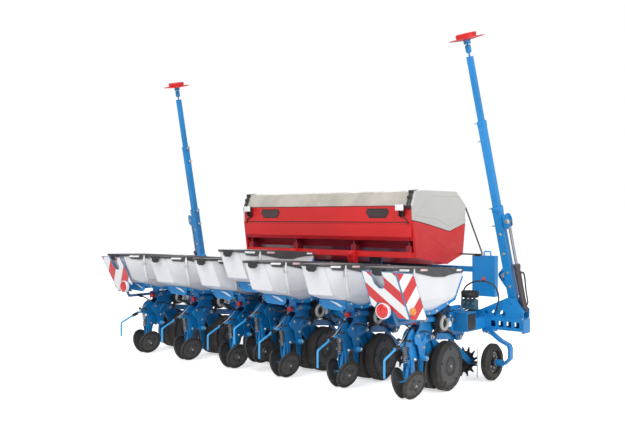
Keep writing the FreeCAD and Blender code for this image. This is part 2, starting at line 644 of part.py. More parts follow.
def wing_beam():
    """The right wing's toolbar and sliding beam, their ties, the marker's seat and the wheel's arm."""
    toolbar = square_tube(BAR, BAR_WALL, CENTRE_BAR + BAR_GAP, BAR_END, BAR_Y, BAR_Z)
    beam = square_tube(BEAM, BEAM_WALL, BEAM_INNER, BEAM_END, SLEEVE_Y, SLEEVE_Z)
    for step in range(4):
        x = BEAM_END - 90 - 85 * step
        beam = beam.cut(box((x, x + 50), (SLEEVE_Y - 200, SLEEVE_Y + 200), (SLEEVE_Z - 28, SLEEVE_Z + 28)))
    room = SLEEVE / 2 - SLEEVE_WALL - PAD_GAP
    pads = []
    for x in (BEAM_INNER + 20, SLEEVE_HALF - PAD_LENGTH - 20):
        pad = box((x, x + PAD_LENGTH), (SLEEVE_Y - room, SLEEVE_Y + room), (SLEEVE_Z - room, SLEEVE_Z + room))
        core = BEAM / 2 - BEAM_WALL
        bore = box((0, 3000), (SLEEVE_Y - core, SLEEVE_Y + core), (SLEEVE_Z - core, SLEEVE_Z + core))
        pads.append(pad.cut(bore))
    bar_front = BAR_Y + BAR / 2
    ties = [box((x, x + LINK_THICK), (bar_front, SLEEVE_Y - BEAM / 2), (SLEEVE_Z - 55, SLEEVE_Z + 60))
            for x in LINK_XS]
    back = SLEEVE_Y - SLEEVE / 2
    shoe = box((SHOE_X, SHOE_X + SHOE_LENGTH), (bar_front, back - PAD_GAP), (SLEEVE_Z - 30, SLEEVE_Z + 60))
    end_plate = box((BEAM_END, BEAM_END + 14), (SLEEVE_Y - 75, SLEEVE_Y + 75), (SLEEVE_Z - 75, SLEEVE_Z + 64))
    return [fuse([toolbar, beam, end_plate, shoe] + pads + ties + marker_seat() + support_arm())]


def seat_sides():
    """Inner faces of the marker seat's two plates, as their Y."""
    half = ARM_FOOT_HALF + SEAT_GAP
    return MARKER_FOOT.y - half, MARKER_FOOT.y + half


def seat_pin(point, radius):
    """A pin along the marker's hinge through both plates of its seat."""
    direction, axis = marker_frame()
    rear, front = seat_sides()
    reach = SEAT_THICK + 8
    start = point + axis * ((rear - reach - point.y) / axis.y)
    end = point + axis * ((front + reach - point.y) / axis.y)
    return cylinder(start, end, radius)


def marker_seat():
    """Two gusset plates on the beam's end that hold the marker's pin and its cylinder's pin."""
    top = SLEEVE_Z + BEAM / 2
    rear, front = seat_sides()
    tip = BEAM_END - 10
    foot = MARKER_FOOT
    plates = []
    for y in (rear - SEAT_THICK, front):
        outline = [V(1900, y, top), V(tip, y, top), V(tip, y, foot.z - 80), V(foot.x + 110, y, foot.z - 60),
                   V(foot.x + 45, y, foot.z + 30), V(foot.x - 40, y, foot.z + 30), V(1960, y, top + 70),
                   V(1900, y, top + 60)]
        plate = Part.Face(Part.makePolygon(outline + outline[:1])).extrude(V(0, SEAT_THICK, 0))
        for x, radius in ((2020, 24), (2110, 30), (2200, 30)):
            hole_z = top + 45
            plate = plate.cut(cylinder(V(x, y - 1, hole_z), V(x, y + SEAT_THICK + 1, hole_z), radius))
        plates.append(plate)
    floor = box((1900, tip), (rear - SEAT_THICK, front + SEAT_THICK), (top, top + 10))
    pins = [seat_pin(foot, MARKER_PIN_R), seat_pin(cylinder_foot_point(), CYLINDER_PIN_R)]
    return plates + [floor] + pins


def support_arm():
    """The bent arm that reaches out over the support wheel and back in to its axle."""
    low = SLEEVE_Z - BEAM / 2
    out = SUPPORT_ARM_X
    start = SUPPORT_X - 70
    route = [(start, low - 20), (SUPPORT_X + 5, low - 42), (SUPPORT_X + 100, 408), (out - 16, 375),
             (out, 340), (out, 240), (out - 60, SUPPORT_R - 4),
             (SUPPORT_X + SUPPORT_WIDTH / 2 + 12, SUPPORT_R - 4)]
    arm = strap(route, 24, SUPPORT_Y - 34, SUPPORT_Y + 34)
    foot = box((start - 30, start + 90), (SLEEVE_Y - BEAM / 2 - 24, SLEEVE_Y + 20), (low - 24, low))
    pin = cylinder(V(SUPPORT_X - SUPPORT_WIDTH / 2 + 14, SUPPORT_Y, SUPPORT_R),
                   V(out - 70, SUPPORT_Y, SUPPORT_R), SUPPORT_PIN_R)
    boss = cylinder(V(SUPPORT_X + SUPPORT_WIDTH / 2 + 6, SUPPORT_Y, SUPPORT_R),
                    V(out - 80, SUPPORT_Y, SUPPORT_R), 34)
    return [arm, foot, pin, boss]


def wing_hoses():
    """The right wing's hoses by the marker's foot: a capped one, and a coil over the valve block."""
    hose_r = 8.0
    top = SLEEVE_Z + BEAM / 2
    plate_y = seat_sides()[0] - SEAT_THICK
    lead = rod_path([V(1742, 1262, top), V(1742, 1262, 740), V(1752, 1254, 850), V(1800, 1242, 935),
                     V(1890, 1234, 985), V(2010, 1230, 1000), V(2120, 1225, 975), V(2180, 1220, 890),
                     V(2182, 1214, 790), V(2150, plate_y - 45, 712), V(2150, plate_y, 712)], hose_r)
    cap = cylinder(V(2010, 1230, 1000), V(2010, 1230, 1034), 15)
    coil_z = 866.0
    coil = Part.makeTorus(85, hose_r, V(1870, 1205, coil_z), V(0, 0, 1))
    block = box((1822, 1896), (1262, 1338), (top, 790))
    hook = box((1862, 1878), (1282, 1298), (780, coil_z - hose_r + 0.5))
    return [fuse([lead, cap]), fuse([block, hook, coil])]


# ================================================================ marker
def marker_frame():
    """The marker arm's direction at rest, and its hinge axis."""
    direction = (MARKER_HUB - MARKER_FOOT).normalize()
    axis = direction.cross(V(1, 0, 0)).normalize()
    return direction, axis


def along_marker(shape):
    """Place a shape drawn upright, +Z along the arm and +Y along its hinge, on the marker."""
    direction, axis = marker_frame()
    out = axis.cross(direction)
    matrix = FreeCAD.Matrix(out.x, axis.x, direction.x, MARKER_FOOT.x,
                            out.y, axis.y, direction.y, MARKER_FOOT.y,
                            out.z, axis.z, direction.z, MARKER_FOOT.z,
                            0, 0, 0, 1)
    copy = shape.copy()
    copy.Placement = FreeCAD.Placement(matrix)
    return copy


def marker_arm():
    """The telescoping arm, its foot, its stepped clamps and the disc's spindle."""
    pieces = []
    for size, start, end in zip(MARKER_TUBES, MARKER_STEPS, MARKER_STEPS[1:]):
        half = size / 2
        pieces.append(box((-half, half), (-half, half), (max(start, 40), end)))
    half = ARM_FOOT_HALF
    foot = cylinder(V(0, -half, 0), V(0, half, 0), 38)
    foot = foot.cut(cylinder(V(0, -60, 0), V(0, 60, 0), MARKER_PIN_R + RUNNING_FIT))
    neck = box((-38, 38), (-half, half), (20, 120))
    neck = neck.cut(cylinder(V(0, -60, 0), V(0, 60, 0), 37))
    spindle_end = (MARKER_HUB - MARKER_FOOT).Length
    spindle = cylinder(V(0, 0, MARKER_STEPS[-1] - 5), V(0, 0, spindle_end + 30), 9)
    eye = box((38, CYLINDER_FOOT_OUT), (-25, 25), (CYLINDER_HEAD_AT - 25, CYLINDER_HEAD_AT + 25))
    slot = box((30, 300), (-17, 17), (CYLINDER_HEAD_AT - 40, CYLINDER_HEAD_AT + 40))
    eye = eye.cut(slot)
    return along_marker(fuse(pieces + [foot, neck, spindle, eye]))


def marker_disc():
    """The marker's dished disc with the smaller serrated one on its hub."""
    z = (MARKER_HUB - MARKER_FOOT).Length
    bore = 9 + RUNNING_FIT
    profile = [V(bore, 0, z - 55), V(34, 0, z - 55), V(34, 0, z - 20), V(MARKER_DISC_R, 0, z - 6),
               V(MARKER_DISC_R, 0, z), V(96, 0, z + 4), V(100, 0, z + 40), V(94, 0, z + 46),
               V(0, 0, z + 46), V(0, 0, z + 34), V(bore, 0, z + 34)]
    wheel = Part.Face(Part.makePolygon(profile + profile[:1])).revolve(V(0, 0, 0), V(0, 0, 1), 360)
    return along_marker(wheel)


def cylinder_foot():
    """The cylinder's lower pin, in the arm's own frame."""
    return V(CYLINDER_FOOT_OUT, 0, -CYLINDER_FOOT_DROP)


def cylinder_foot_point():
    """The cylinder's lower pin, on the machine."""
    direction, axis = marker_frame()
    return MARKER_FOOT + axis.cross(direction) * CYLINDER_FOOT_OUT - direction * CYLINDER_FOOT_DROP


def marker_barrel():
    """The cylinder's barrel, upright from its foot."""
    foot = cylinder_foot()
    body = cylinder(foot + V(0, 0, 30), foot + V(0, 0, CYLINDER_BARREL), CYLINDER_R)
    bore = cylinder(foot + V(0, 0, 60), foot + V(0, 0, CYLINDER_BARREL + 10), CYLINDER_ROD_R + RUNNING_FIT)
    eye = cylinder(foot + V(0, -14, 0), foot + V(0, 14, 0), 24)
    neck = box((foot.x - 12, foot.x + 12), (-14, 14), (foot.z + 10, foot.z + 40))
    pin_hole = cylinder(foot + V(0, -30, 0), foot + V(0, 30, 0), CYLINDER_PIN_R + RUNNING_FIT)
    return along_marker(fuse([body, eye, neck]).cut(bore).cut(pin_hole))


def marker_rod():
    """The cylinder's chrome rod with its eye."""
    foot = cylinder_foot()
    head = CYLINDER_HEAD_AT - foot.z
    rod = cylinder(foot + V(0, 0, CYLINDER_ROD_INSIDE), foot + V(0, 0, head - 20), CYLINDER_ROD_R)
    eye = cylinder(foot + V(0, -10, head), foot + V(0, 10, head), 22)
    return along_marker(fuse([rod, eye]))


# ================================================================ fertiliser hopper
def tank_profile():
    """The fertiliser hopper's section as (y, z) points, from the rear rim round to the front rim."""
    return [(TANK_REAR, TANK_RIM), (TANK_REAR, TANK_LEDGE), (1190, 1470), (1260, 1300), (1600, 1115),
            (1780, 1115), (2120, 1206), (TANK_FRONT - 20, 1580), (TANK_FRONT, TANK_RIM)]


def tank_floor(y):
    """Height of the tank's sloping underside ahead of its lowest line."""
    (y0, z0), (y1, z1) = tank_profile()[5:7]
    return z0 + (z1 - z0) * (y - y0) / (y1 - y0)


def fertiliser_hopper():
    """The hollow tank with its end walls, rear rail, brackets and metering trough."""
    profile = tank_profile()
    outer = prism(profile, -TANK_HALF, TANK_HALF)
    inner = prism([(TANK_REAR + TANK_WALL, TANK_RIM + 5), (TANK_REAR + TANK_WALL, TANK_LEDGE + 6),
                   (1198, 1476), (1268, 1305), (1603, 1123), (1779, 1123), (2112, 1213),
                   (TANK_FRONT - 28, 1581), (TANK_FRONT - TANK_WALL, TANK_RIM + 5)],
                  -TANK_HALF + TANK_WALL, TANK_HALF - TANK_WALL)
    shell = outer.cut(inner)
    rail = box((-TANK_HALF, TANK_HALF), (1140, 1240), RAIL_Z)
    low = TANK_LEDGE - FASCIA_DROP
    fascia = prism([(TANK_REAR, TANK_LEDGE), (TANK_REAR + 4, low + 42), (TANK_REAR + 32, low),
                    (TANK_REAR + 32 + FASCIA_THICK, low + 6), (TANK_REAR + 4 + FASCIA_THICK, low + 48),
                    (TANK_REAR + FASCIA_THICK, TANK_LEDGE)], -TANK_HALF, TANK_HALF)
    pieces = [shell, rail, fascia]
    for x in (436.0, 1175.0):
        bracket = box((x - 35, x + 35), (1130, 1240), (RAIL_Z[0], RAIL_Z[1] + 70))
        web = prism([(1140, RAIL_Z[1]), (1140, 1360), (1100, TANK_LEDGE + 1), (1210, 1470), (1262, 1300)],
                    x - 12, x + 12)
        pieces += both_ways(bracket) + both_ways(web)
    cap = prism([(1139, 1209), (1083, 1605), (1321, 1572), (1848, 1478), (2215, 1573), (2155, 1213),
                 (1797, 1113)], TANK_HALF, TANK_HALF + END_CAP)
    pieces += both_ways(cap)
    trough = box((-1100, 1100), (1640, 1740), (1040, 1116))
    pieces.append(trough)
    hinge = cover_hinge()
    for middle in (-900.0, 0.0, 900.0):
        for x in (middle - 54, middle + 42):
            lug = box((x, x + 12), (TANK_FRONT - 8, hinge.y + 8), (hinge.z - 30, hinge.z + 2))
            lug = lug.fuse(cylinder(hinge + V(x, 0, 0), hinge + V(x + 12, 0, 0), 8))
            bore = cylinder(hinge + V(x - 1, 0, 0), hinge + V(x + 13, 0, 0), COVER_PIN_R + RUNNING_FIT)
            pieces.append(lug.cut(bore))
    return [fuse(pieces)]


def cover_hinge():
    """The cover's hinge line, as a point on it."""
    return V(0, TANK_FRONT + COVER_THICK + 8, TANK_RIM - 6)


def fertiliser_cover():
    """The tank's hinged cover with its end caps that come down over the ends in a chevron."""
    crown = [(TANK_REAR - 8, TANK_RIM + LID_REST_GAP), (1135, COVER_TOP - 20), (1240, COVER_TOP - 4),
             (2006, COVER_TOP), (TANK_FRONT + COVER_THICK, TANK_RIM + 8)]
    outer = crown + [(TANK_FRONT + COVER_THICK, TANK_RIM + LID_REST_GAP)]
    inner = [(TANK_REAR + 4, TANK_RIM), (1143, COVER_TOP - 32), (1240, COVER_TOP - 16),
             (2002, COVER_TOP - 12), (TANK_FRONT - 4, TANK_RIM + 8), (TANK_FRONT - 4, TANK_RIM)]
    start = TANK_HALF + COVER_SIDE_GAP
    shell = prism(outer, -start, start).cut(prism(inner, -start - 1, start + 1))
    cap = prism(crown + [(2205, 1650), (2220, 1582), (1848, 1487), (1321, 1581), (1083, 1613)],
                start, start + END_CAP - COVER_SIDE_GAP)
    hinge = cover_hinge()
    leaves = []
    for x in (-900.0, 0.0, 900.0):
        knuckle = cylinder(hinge + V(x - 40, 0, 0), hinge + V(x + 40, 0, 0), 8)
        leaf = box((x - 40, x + 40), (TANK_FRONT + COVER_THICK - 2, hinge.y + 4), (hinge.z + 2, hinge.z + 14))
        pin = cylinder(hinge + V(x - 55, 0, 0), hinge + V(x + 55, 0, 0), COVER_PIN_R)
        leaves += [knuckle, leaf, pin]
    return [fuse([shell] + both_ways(cap) + leaves)]


def fan():
    """The vacuum fan at the front of the frame."""
    y, z = 1640.0, 790.0
    housing = cylinder(V(-320, y, z), V(-170, y, z), 230)
    inlet = cylinder(V(-355, y, z), V(-320, y, z), 80)
    low = SLEEVE_Z + SLEEVE / 2
    foot = box((-285, -205), (SLEEVE_Y + SLEEVE / 2 - 60, y), (low, low + 20))
    riser = box((-285, -205), (y - 60, y + 60), (low, z - 100))
    return [fuse([housing, inlet, foot, riser])]


def tank_front(z):
    """The tank's front wall above its lower corner, as y at a height."""
    (y0, z0), (y1, z1) = tank_profile()[7:9]
    return y0 + (y1 - y0) * (z - z0) / (z1 - z0)


def service_step():
    """The folded step in front of the right end, its carrier, its handle and its handrails."""
    face = 2080.0
    box_body = box((1450, 1730), (face - 40, face + 40), (750, 1210))
    carrier = box((690, 1500), (face - 20, face + 40), (1020, 1080))
    handle = rod_path([V(1580, face, 1200), V(1580, face, 1258), V(1660, face, 1258), V(1660, face, 1200)],
                      9, 20)
    low, high = 1620.0, 1660.0
    foot = prism([(tank_front(low), low), (tank_front(high), high), (HANDRAIL_Y - 20, high),
                  (HANDRAIL_Y - 20, low)], 1175, 1205)
    rail = rod_path([V(1190, HANDRAIL_Y - 40, 1640), V(1190, HANDRAIL_Y, 1640), V(1236, HANDRAIL_Y, 1772),
                     V(1541, 2100, 1240), V(1541, 2090, 1200)], HANDRAIL_R, 12)
    stay = cylinder(V(TANK_HALF + END_CAP, 2100, 1219), V(1541, 2100, 1219), HANDRAIL_R)
    return [fuse([box_body, carrier, handle, foot, rail, stay])]


# ================================================================ warning panels
def warning_panels():
    """The right pair of panels behind the last hopper, with the lamps and their bracket."""
    x0, x1 = PANEL_X
    slope = V(0, PANEL_Y[1] - PANEL_Y[0], PANEL_Z[1] - PANEL_Z[0]) * (1.0 / (PANEL_Z[0] - PANEL_Z[1]))
    top = V(0, PANEL_Y[0], PANEL_Z[0])
    height = PANEL_Z[0] - PANEL_Z[1]
    row = WING_ROWS[2]

    def at(x, drop):
        return V(x, 0, 0) + top + slope * drop

    rear = Part.Face(Part.makePolygon([at(x0 + 20, 0), at(row - 55, 0), at(row - 50, 110), at(row - 20, 150),
                                       at(row + 20, 150), at(row + 50, 110), at(row + 55, 0), at(x1, 0),
                                       at(x1, height), at(x1 - 60, height - 20), at(x0, 245),
                                       at(x0 + 20, 0)])).extrude(V(0, -PANEL_THICK, 0))
    wing = V(32, 225, -22)
    side = Part.Face(Part.makePolygon([at(x1 - 1, 0), at(x1 - 1, height), at(x1 - 1, height) + wing,
                                       at(x1 - 1, 0) + wing, at(x1 - 1, 0)])).extrude(V(PANEL_THICK, 0, 0))
    lamp_at = V(1847, -300, 826)
    lamp = cylinder(lamp_at, lamp_at - V(0, 40, 0), LAMP_R)
    stay = box((lamp_at.x - 15, row + 52), (-285, -262), (lamp_at.z - 25, lamp_at.z + 15))
    stud = cylinder(lamp_at, lamp_at + V(0, 25, 0), 12)
    amber = cylinder(V(x1 + 2, -240, 830), V(x1 + 32, -240, 830), 32)
    bar = prism([(150, 690), (150, 720), (-200, 720), (-243, 800), (-286, 880), (-316, 880), (-272, 800),
                 (-228, 720), (-210, 690)], row + 32, row + 52)
    return [fuse([rear, side, lamp, amber, bar, stay, stud])]


# ================================================================ the whole machine
def build():
    """Write every node."""
    os.makedirs("parts", exist_ok=True)
    shift_y, shift_z = lift_shift()
    frame, hopper, lid = row_frame(), seed_hopper(), seed_lid()
    meter, discs, cleaner = seed_meter(), opener(), row_cleaner()
    depth_wheels, closer = gauge_wheels(), closing_wheel()

    write("main_frame", main_frame())
    write("headstock", headstock())
    write("fertiliser_hopper", fertiliser_hopper())
    write("fertiliser_cover", fertiliser_cover())
    write("fan", fan())
    write("service_step", service_step())

    write("centre_row_frame", row_frame(shift_y, shift_z))
    write("centre_row_hopper", [moved(hopper, y=shift_y, z=shift_z)])
    write("centre_row_lid", [moved(lid, y=shift_y, z=shift_z)])
    write("centre_row_meter", [moved(piece, y=shift_y, z=shift_z) for piece in meter])
    write("centre_row_opener", [moved(disc, y=shift_y, z=shift_z) for disc in discs] + cleaner)
    write("centre_gauge_wheels", [moved(piece, y=shift_y, z=shift_z) for piece in depth_wheels])
    for name, side in SIDES.items():
        write(f"centre_closing_wheel_{name}", [moved(mirrored(closer, side), y=shift_y, z=shift_z)])

    for name, side in SIDES.items():
        write(f"{name}_wing_beam", [mirrored(piece, side) for piece in wing_beam()])
        places = [side * x for x in WING_ROWS]
        write(f"{name}_row_frames", [moved(piece, x=x) for x in places for piece in frame])
        write(f"{name}_row_hoppers", [moved(hopper, x=x) for x in places])
        hoses = [mirrored(piece, side) for piece in wing_hoses()]
        write(f"{name}_row_meters", [moved(piece, x=x) for x in places for piece in meter] + hoses)
        write(f"{name}_row_openers", [moved(piece, x=x) for x in places for piece in discs + cleaner])
        write(f"{name}_warning_panels", [mirrored(piece, side) for piece in warning_panels()])
        for number, x in enumerate(places, start=1):
            write(f"{name}_row_{number}_lid", [moved(lid, x=x)])
            write(f"{name}_row_{number}_gauge_wheels", [moved(piece, x=x) for piece in depth_wheels])
            for hand, lean in SIDES.items():
                write(f"{name}_row_{number}_closing_wheel_{hand}", [moved(mirrored(closer, lean), x=x)])
        write(f"{name}_support_wheel", [mirrored(support_wheel(), side)])
        write(f"{name}_marker_arm", [mirrored(marker_arm(), side)])
        write(f"{name}_marker_disc", [mirrored(marker_disc(), side)])
        write(f"{name}_marker_barrel", [mirrored(marker_barrel(), side)])
        write(f"{name}_marker_rod", [mirrored(marker_rod(), side)])


build()
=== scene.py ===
"""Looks of a folded seven-row precision planter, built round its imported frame.

The frame holds the machine's solids in metres, standing on Z = 0, with +X to its right and +Y ahead, where
the tractor goes. Each class below finishes one sub-assembly: it takes its places from the frame, builds the
fittings that the solids leave out, and gives every surface its own finish.
"""

from __future__ import annotations

import json
import logging
import math
import sys
from collections.abc import Callable, Sequence
from dataclasses import dataclass, field
from enum import Enum

import bmesh
import bpy
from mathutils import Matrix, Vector


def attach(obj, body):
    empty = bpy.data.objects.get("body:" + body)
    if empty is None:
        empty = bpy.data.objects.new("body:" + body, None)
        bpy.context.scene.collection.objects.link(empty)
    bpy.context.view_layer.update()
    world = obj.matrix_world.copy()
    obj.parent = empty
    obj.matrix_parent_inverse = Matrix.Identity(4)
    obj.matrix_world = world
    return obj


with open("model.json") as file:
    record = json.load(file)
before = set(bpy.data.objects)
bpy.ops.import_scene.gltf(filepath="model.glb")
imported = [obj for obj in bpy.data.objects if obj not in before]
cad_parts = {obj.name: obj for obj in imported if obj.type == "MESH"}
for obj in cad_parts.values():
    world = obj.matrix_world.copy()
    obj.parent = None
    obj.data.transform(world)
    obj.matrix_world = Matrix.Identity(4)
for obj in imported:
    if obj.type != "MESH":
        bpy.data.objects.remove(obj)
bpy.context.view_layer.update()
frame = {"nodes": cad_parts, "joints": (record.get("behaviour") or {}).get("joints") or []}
LOG = logging.getLogger("planter")

Colour = tuple[float, float, float]
Point = tuple[float, float, float]
Pair = tuple[float, float]
Socket = bpy.types.NodeSocket

SIDES = (-1, 1)
HANDS = (("left", -1), ("right", 1))
CORNERS = ((-1, -1), (1, -1), (1, 1), (-1, 1))
RIGHT, BACK, UP = Vector((1, 0, 0)), Vector((0, -1, 0)), Vector((0, 0, 1))

BLUE_TONE: Colour = (0.006, 0.212, 0.535)
PALE_BLUE_TONE: Colour = (0.045, 0.35, 0.72)
RED_TONE: Colour = (0.62, 0.02, 0.022)
TANK_TONE: Colour = (0.63, 0.015, 0.015)
STONE_TONE: Colour = (0.56, 0.55, 0.51)
BLACK_TONE: Colour = (0.02, 0.02, 0.022)
GREY_TONE: Colour = (0.40, 0.39, 0.36)
STEEL_TONE: Colour = (0.12, 0.115, 0.11)
BOARD_TONE: Colour = (0.08, 0.22, 0.40)
RUBBER_TONE: Colour = (0.026, 0.023, 0.02)
SOIL_TONE: Colour = (0.19, 0.145, 0.1)
CAP_TONE: Colour = (0.34, 0.34, 0.35)


# ---------------------------------------------------------------------- finishes
def opaque(colour: Socket | Colour) -> Socket | tuple[float, ...]:
    """A colour as a node takes it: a link, or three channels with an alpha of 1."""
    return colour if isinstance(colour, bpy.types.NodeSocket) else (*colour, 1.0)


def shade(colour: Colour, factor: float) -> Colour:
    """The same colour, lighter or darker."""
    return tuple(min(1.0, channel * factor) for channel in colour)


class Graph:
    """A material's node tree, with one short call for each kind of node that the finishes use."""

    def __init__(self, name: str) -> None:
        """Start an empty tree.

        Args:
            name: the material's name.
        """
        self.material = bpy.data.materials.new(name)
        self.material.use_nodes = True
        self.tree = self.material.node_tree
        self.tree.nodes.clear()
        self.place = self.add("ShaderNodeTexCoord").outputs["Object"]
        split = self.add("ShaderNodeSeparateXYZ", {0: self.place})
        self.x, self.y, self.z = split.outputs

    def add(self, kind: str, inputs: dict[str | int, object] | None = None,
            **settings: object) -> bpy.types.Node:
        """Add a node.

        Args:
            kind: the node's type.
            inputs: a socket to link, or a value to set, for each named or numbered input.
            **settings: the node's own properties.

        Returns:
            The new node.
        """
        node = self.tree.nodes.new(kind)
        for key, value in settings.items():
            setattr(node, key, value)
        for key, value in (inputs or {}).items():
            if isinstance(value, bpy.types.NodeSocket):
                self.tree.links.new(value, node.inputs[key])
            else:
                node.inputs[key].default_value = value
        return node

    def maths(self, operation: str, first: Socket | float, second: Socket | float = 0.0) -> Socket:
        """Combine two numbers by a Math node's operation."""
        return self.add("ShaderNodeMath", {0: first, 1: second}, operation=operation).outputs[0]

    def vectors(self, operation: str, *inputs: Socket | Sequence[float]) -> Socket:
        """Combine vectors by a Vector Math node's operation, to a number where that is its result."""
        node = self.add("ShaderNodeVectorMath", dict(enumerate(inputs)), operation=operation)
        return node.outputs["Value" if operation in ("DOT_PRODUCT", "LENGTH") else "Vector"]

    def noise(self, scale: float, detail: float = 3.0) -> Socket:
        """A soft random pattern fixed to the piece, about 0.3 to 0.7, with so many patches in a metre."""
        inputs = {"Vector": self.place, "Scale": scale, "Detail": detail}
        return self.add("ShaderNodeTexNoise", inputs).outputs["Fac"]

    def ramp(self, value: Socket, low: float, high: float) -> Socket:
        """Turn a value into a smooth share, 0 at the low limit and 1 at the high one."""
        inputs = {"Value": value, "From Min": low, "From Max": high}
        return self.add("ShaderNodeMapRange", inputs, interpolation_type="SMOOTHSTEP").outputs[0]

    def between(self, value: Socket, low: float, high: float, soft: float = 0.0008) -> Socket:
        """A share of 1 where a value lies between two limits, and 0 outside.

        Args:
            value: what to read.
            low: the lower limit.
            high: the upper limit.
            soft: half the width of each edge.

        Returns:
            A share from 0 to 1.
        """
        above = self.ramp(value, low - soft, low + soft)
        below = self.ramp(value, high + soft, high - soft)
        return self.maths("MULTIPLY", above, below)

    def blend(self, share: Socket, first: Socket | Colour, second: Socket | Colour) -> Socket:
        """Mix two colours, with so much of the second."""
        inputs = {0: share, 6: opaque(first), 7: opaque(second)}
        return self.add("ShaderNodeMix", inputs, data_type="RGBA").outputs[2]

    def level(self, share: Socket, first: Socket | float, second: Socket | float) -> Socket:
        """Mix two numbers, with so much of the second."""
        return self.add("ShaderNodeMix", {0: share, 2: first, 3: second}, data_type="FLOAT").outputs[0]

    def relief(self, height: Socket, distance: float, under: Socket | None = None) -> Socket:
        """Raise the surface.

        Args:
            height: the pattern's height, 0 to 1.
            distance: what a height of 1 is, in metres.
            under: the normal that it adds to.

        Returns:
            The new normal.
        """
        inputs = {"Height": height, "Distance": distance, "Strength": 1.0}
        if under is not None:
            inputs["Normal"] = under
        return self.add("ShaderNodeBump", inputs).outputs[0]

    def soft(self, radius: float) -> Socket | None:
        """The normal with the edges' shading rounded to a radius in metres, or None at 0."""
        return self.add("ShaderNodeBevel", {"Radius": radius}, samples=3).outputs[0] if radius else None

    def surface(self, colour: Socket | Colour, roughness: Socket | float, normal: Socket,
                **fixed: object) -> bpy.types.Material:
        """Close the tree with its shader.

        Args:
            colour: the base colour.
            roughness: the roughness.
            normal: the normal.
            **fixed: other values set on the shader's own sockets, with _ for each space in their names.

        Returns:
            The finished material.
        """
        inputs: dict[str | int, object] = {key.replace("_", " "): value for key, value in fixed.items()}
        inputs |= {"Base Color": opaque(colour), "Roughness": roughness, "Normal": normal}
        shader = self.add("ShaderNodeBsdfPrincipled", inputs)
        self.add("ShaderNodeOutputMaterial", {"Surface": shader.outputs[0]})
        return self.material


@dataclass(frozen=True)
class Finish:
    """A surface's look, and how it varies over the piece.

    Attributes:
        name: the material's name.
        colour: the base colour, linear.
        roughness: the mean roughness.
        metallic: 1 on bare metal.
        mottle: how far the colour drifts, as a share.
        patches: drifts in a metre.
        grain: fine bumps in a metre.
        depth: the bumps' height, in metres.
        coat: clear lacquer over it.
        soil: share of dry soil just above the ground.
        soil_top: height at which the soil ends, in metres.
        edge: radius of the edges, in metres.
    """

    name: str
    colour: Colour
    roughness: float = 0.45
    metallic: float = 0.0
    mottle: float = 0.12
    patches: float = 5.0
    grain: float = 220.0
    depth: float = 0.0004
    coat: float = 0.0
    soil: float = 0.0
    soil_top: float = 0.3
    edge: float = 0.0

    LACQUER_ROUGHNESS = 0.12

    def dusted(self, graph: Graph, colour: Socket) -> Socket:
        """Lay dry soil over the lower part of a colour.

        Args:
            graph: the material's tree.
            colour: the clean colour.

        Returns:
            The colour with its soil.
        """
        if not self.soil:
            return colour
        low = graph.ramp(graph.z, self.soil_top, 0.0)
        spread = graph.ramp(graph.noise(38.0, 5.0), 0.38, 0.72)
        share = graph.maths("MULTIPLY", graph.maths("MULTIPLY", low, spread), self.soil)
        return graph.blend(share, colour, SOIL_TONE)

    def tint(self, graph: Graph) -> Socket:
        """The base colour with its drift."""
        drift = graph.ramp(graph.noise(self.patches, 4.0), 0.32, 0.68)
        return graph.blend(drift, shade(self.colour, 1 - self.mottle), shade(self.colour, 1 + self.mottle))

    def wear(self, graph: Graph) -> Socket:
        """The roughness, which drifts over the piece."""
        worn = graph.ramp(graph.noise(self.patches * 2.3, 4.0), 0.3, 0.7)
        return graph.level(worn, self.roughness * 0.85, min(1.0, self.roughness * 1.2))

    def build(self) -> bpy.types.Material:
        """Make the material.

        Returns:
            The material.
        """
        graph = Graph(self.name)
        colour = self.dusted(graph, self.tint(graph))
        normal = graph.relief(graph.noise(self.grain, 2.0), self.depth, graph.soft(self.edge))
        return graph.surface(colour, self.wear(graph), normal, Metallic=self.metallic,
                             Coat_Weight=self.coat, Coat_Roughness=self.LACQUER_ROUGHNESS)


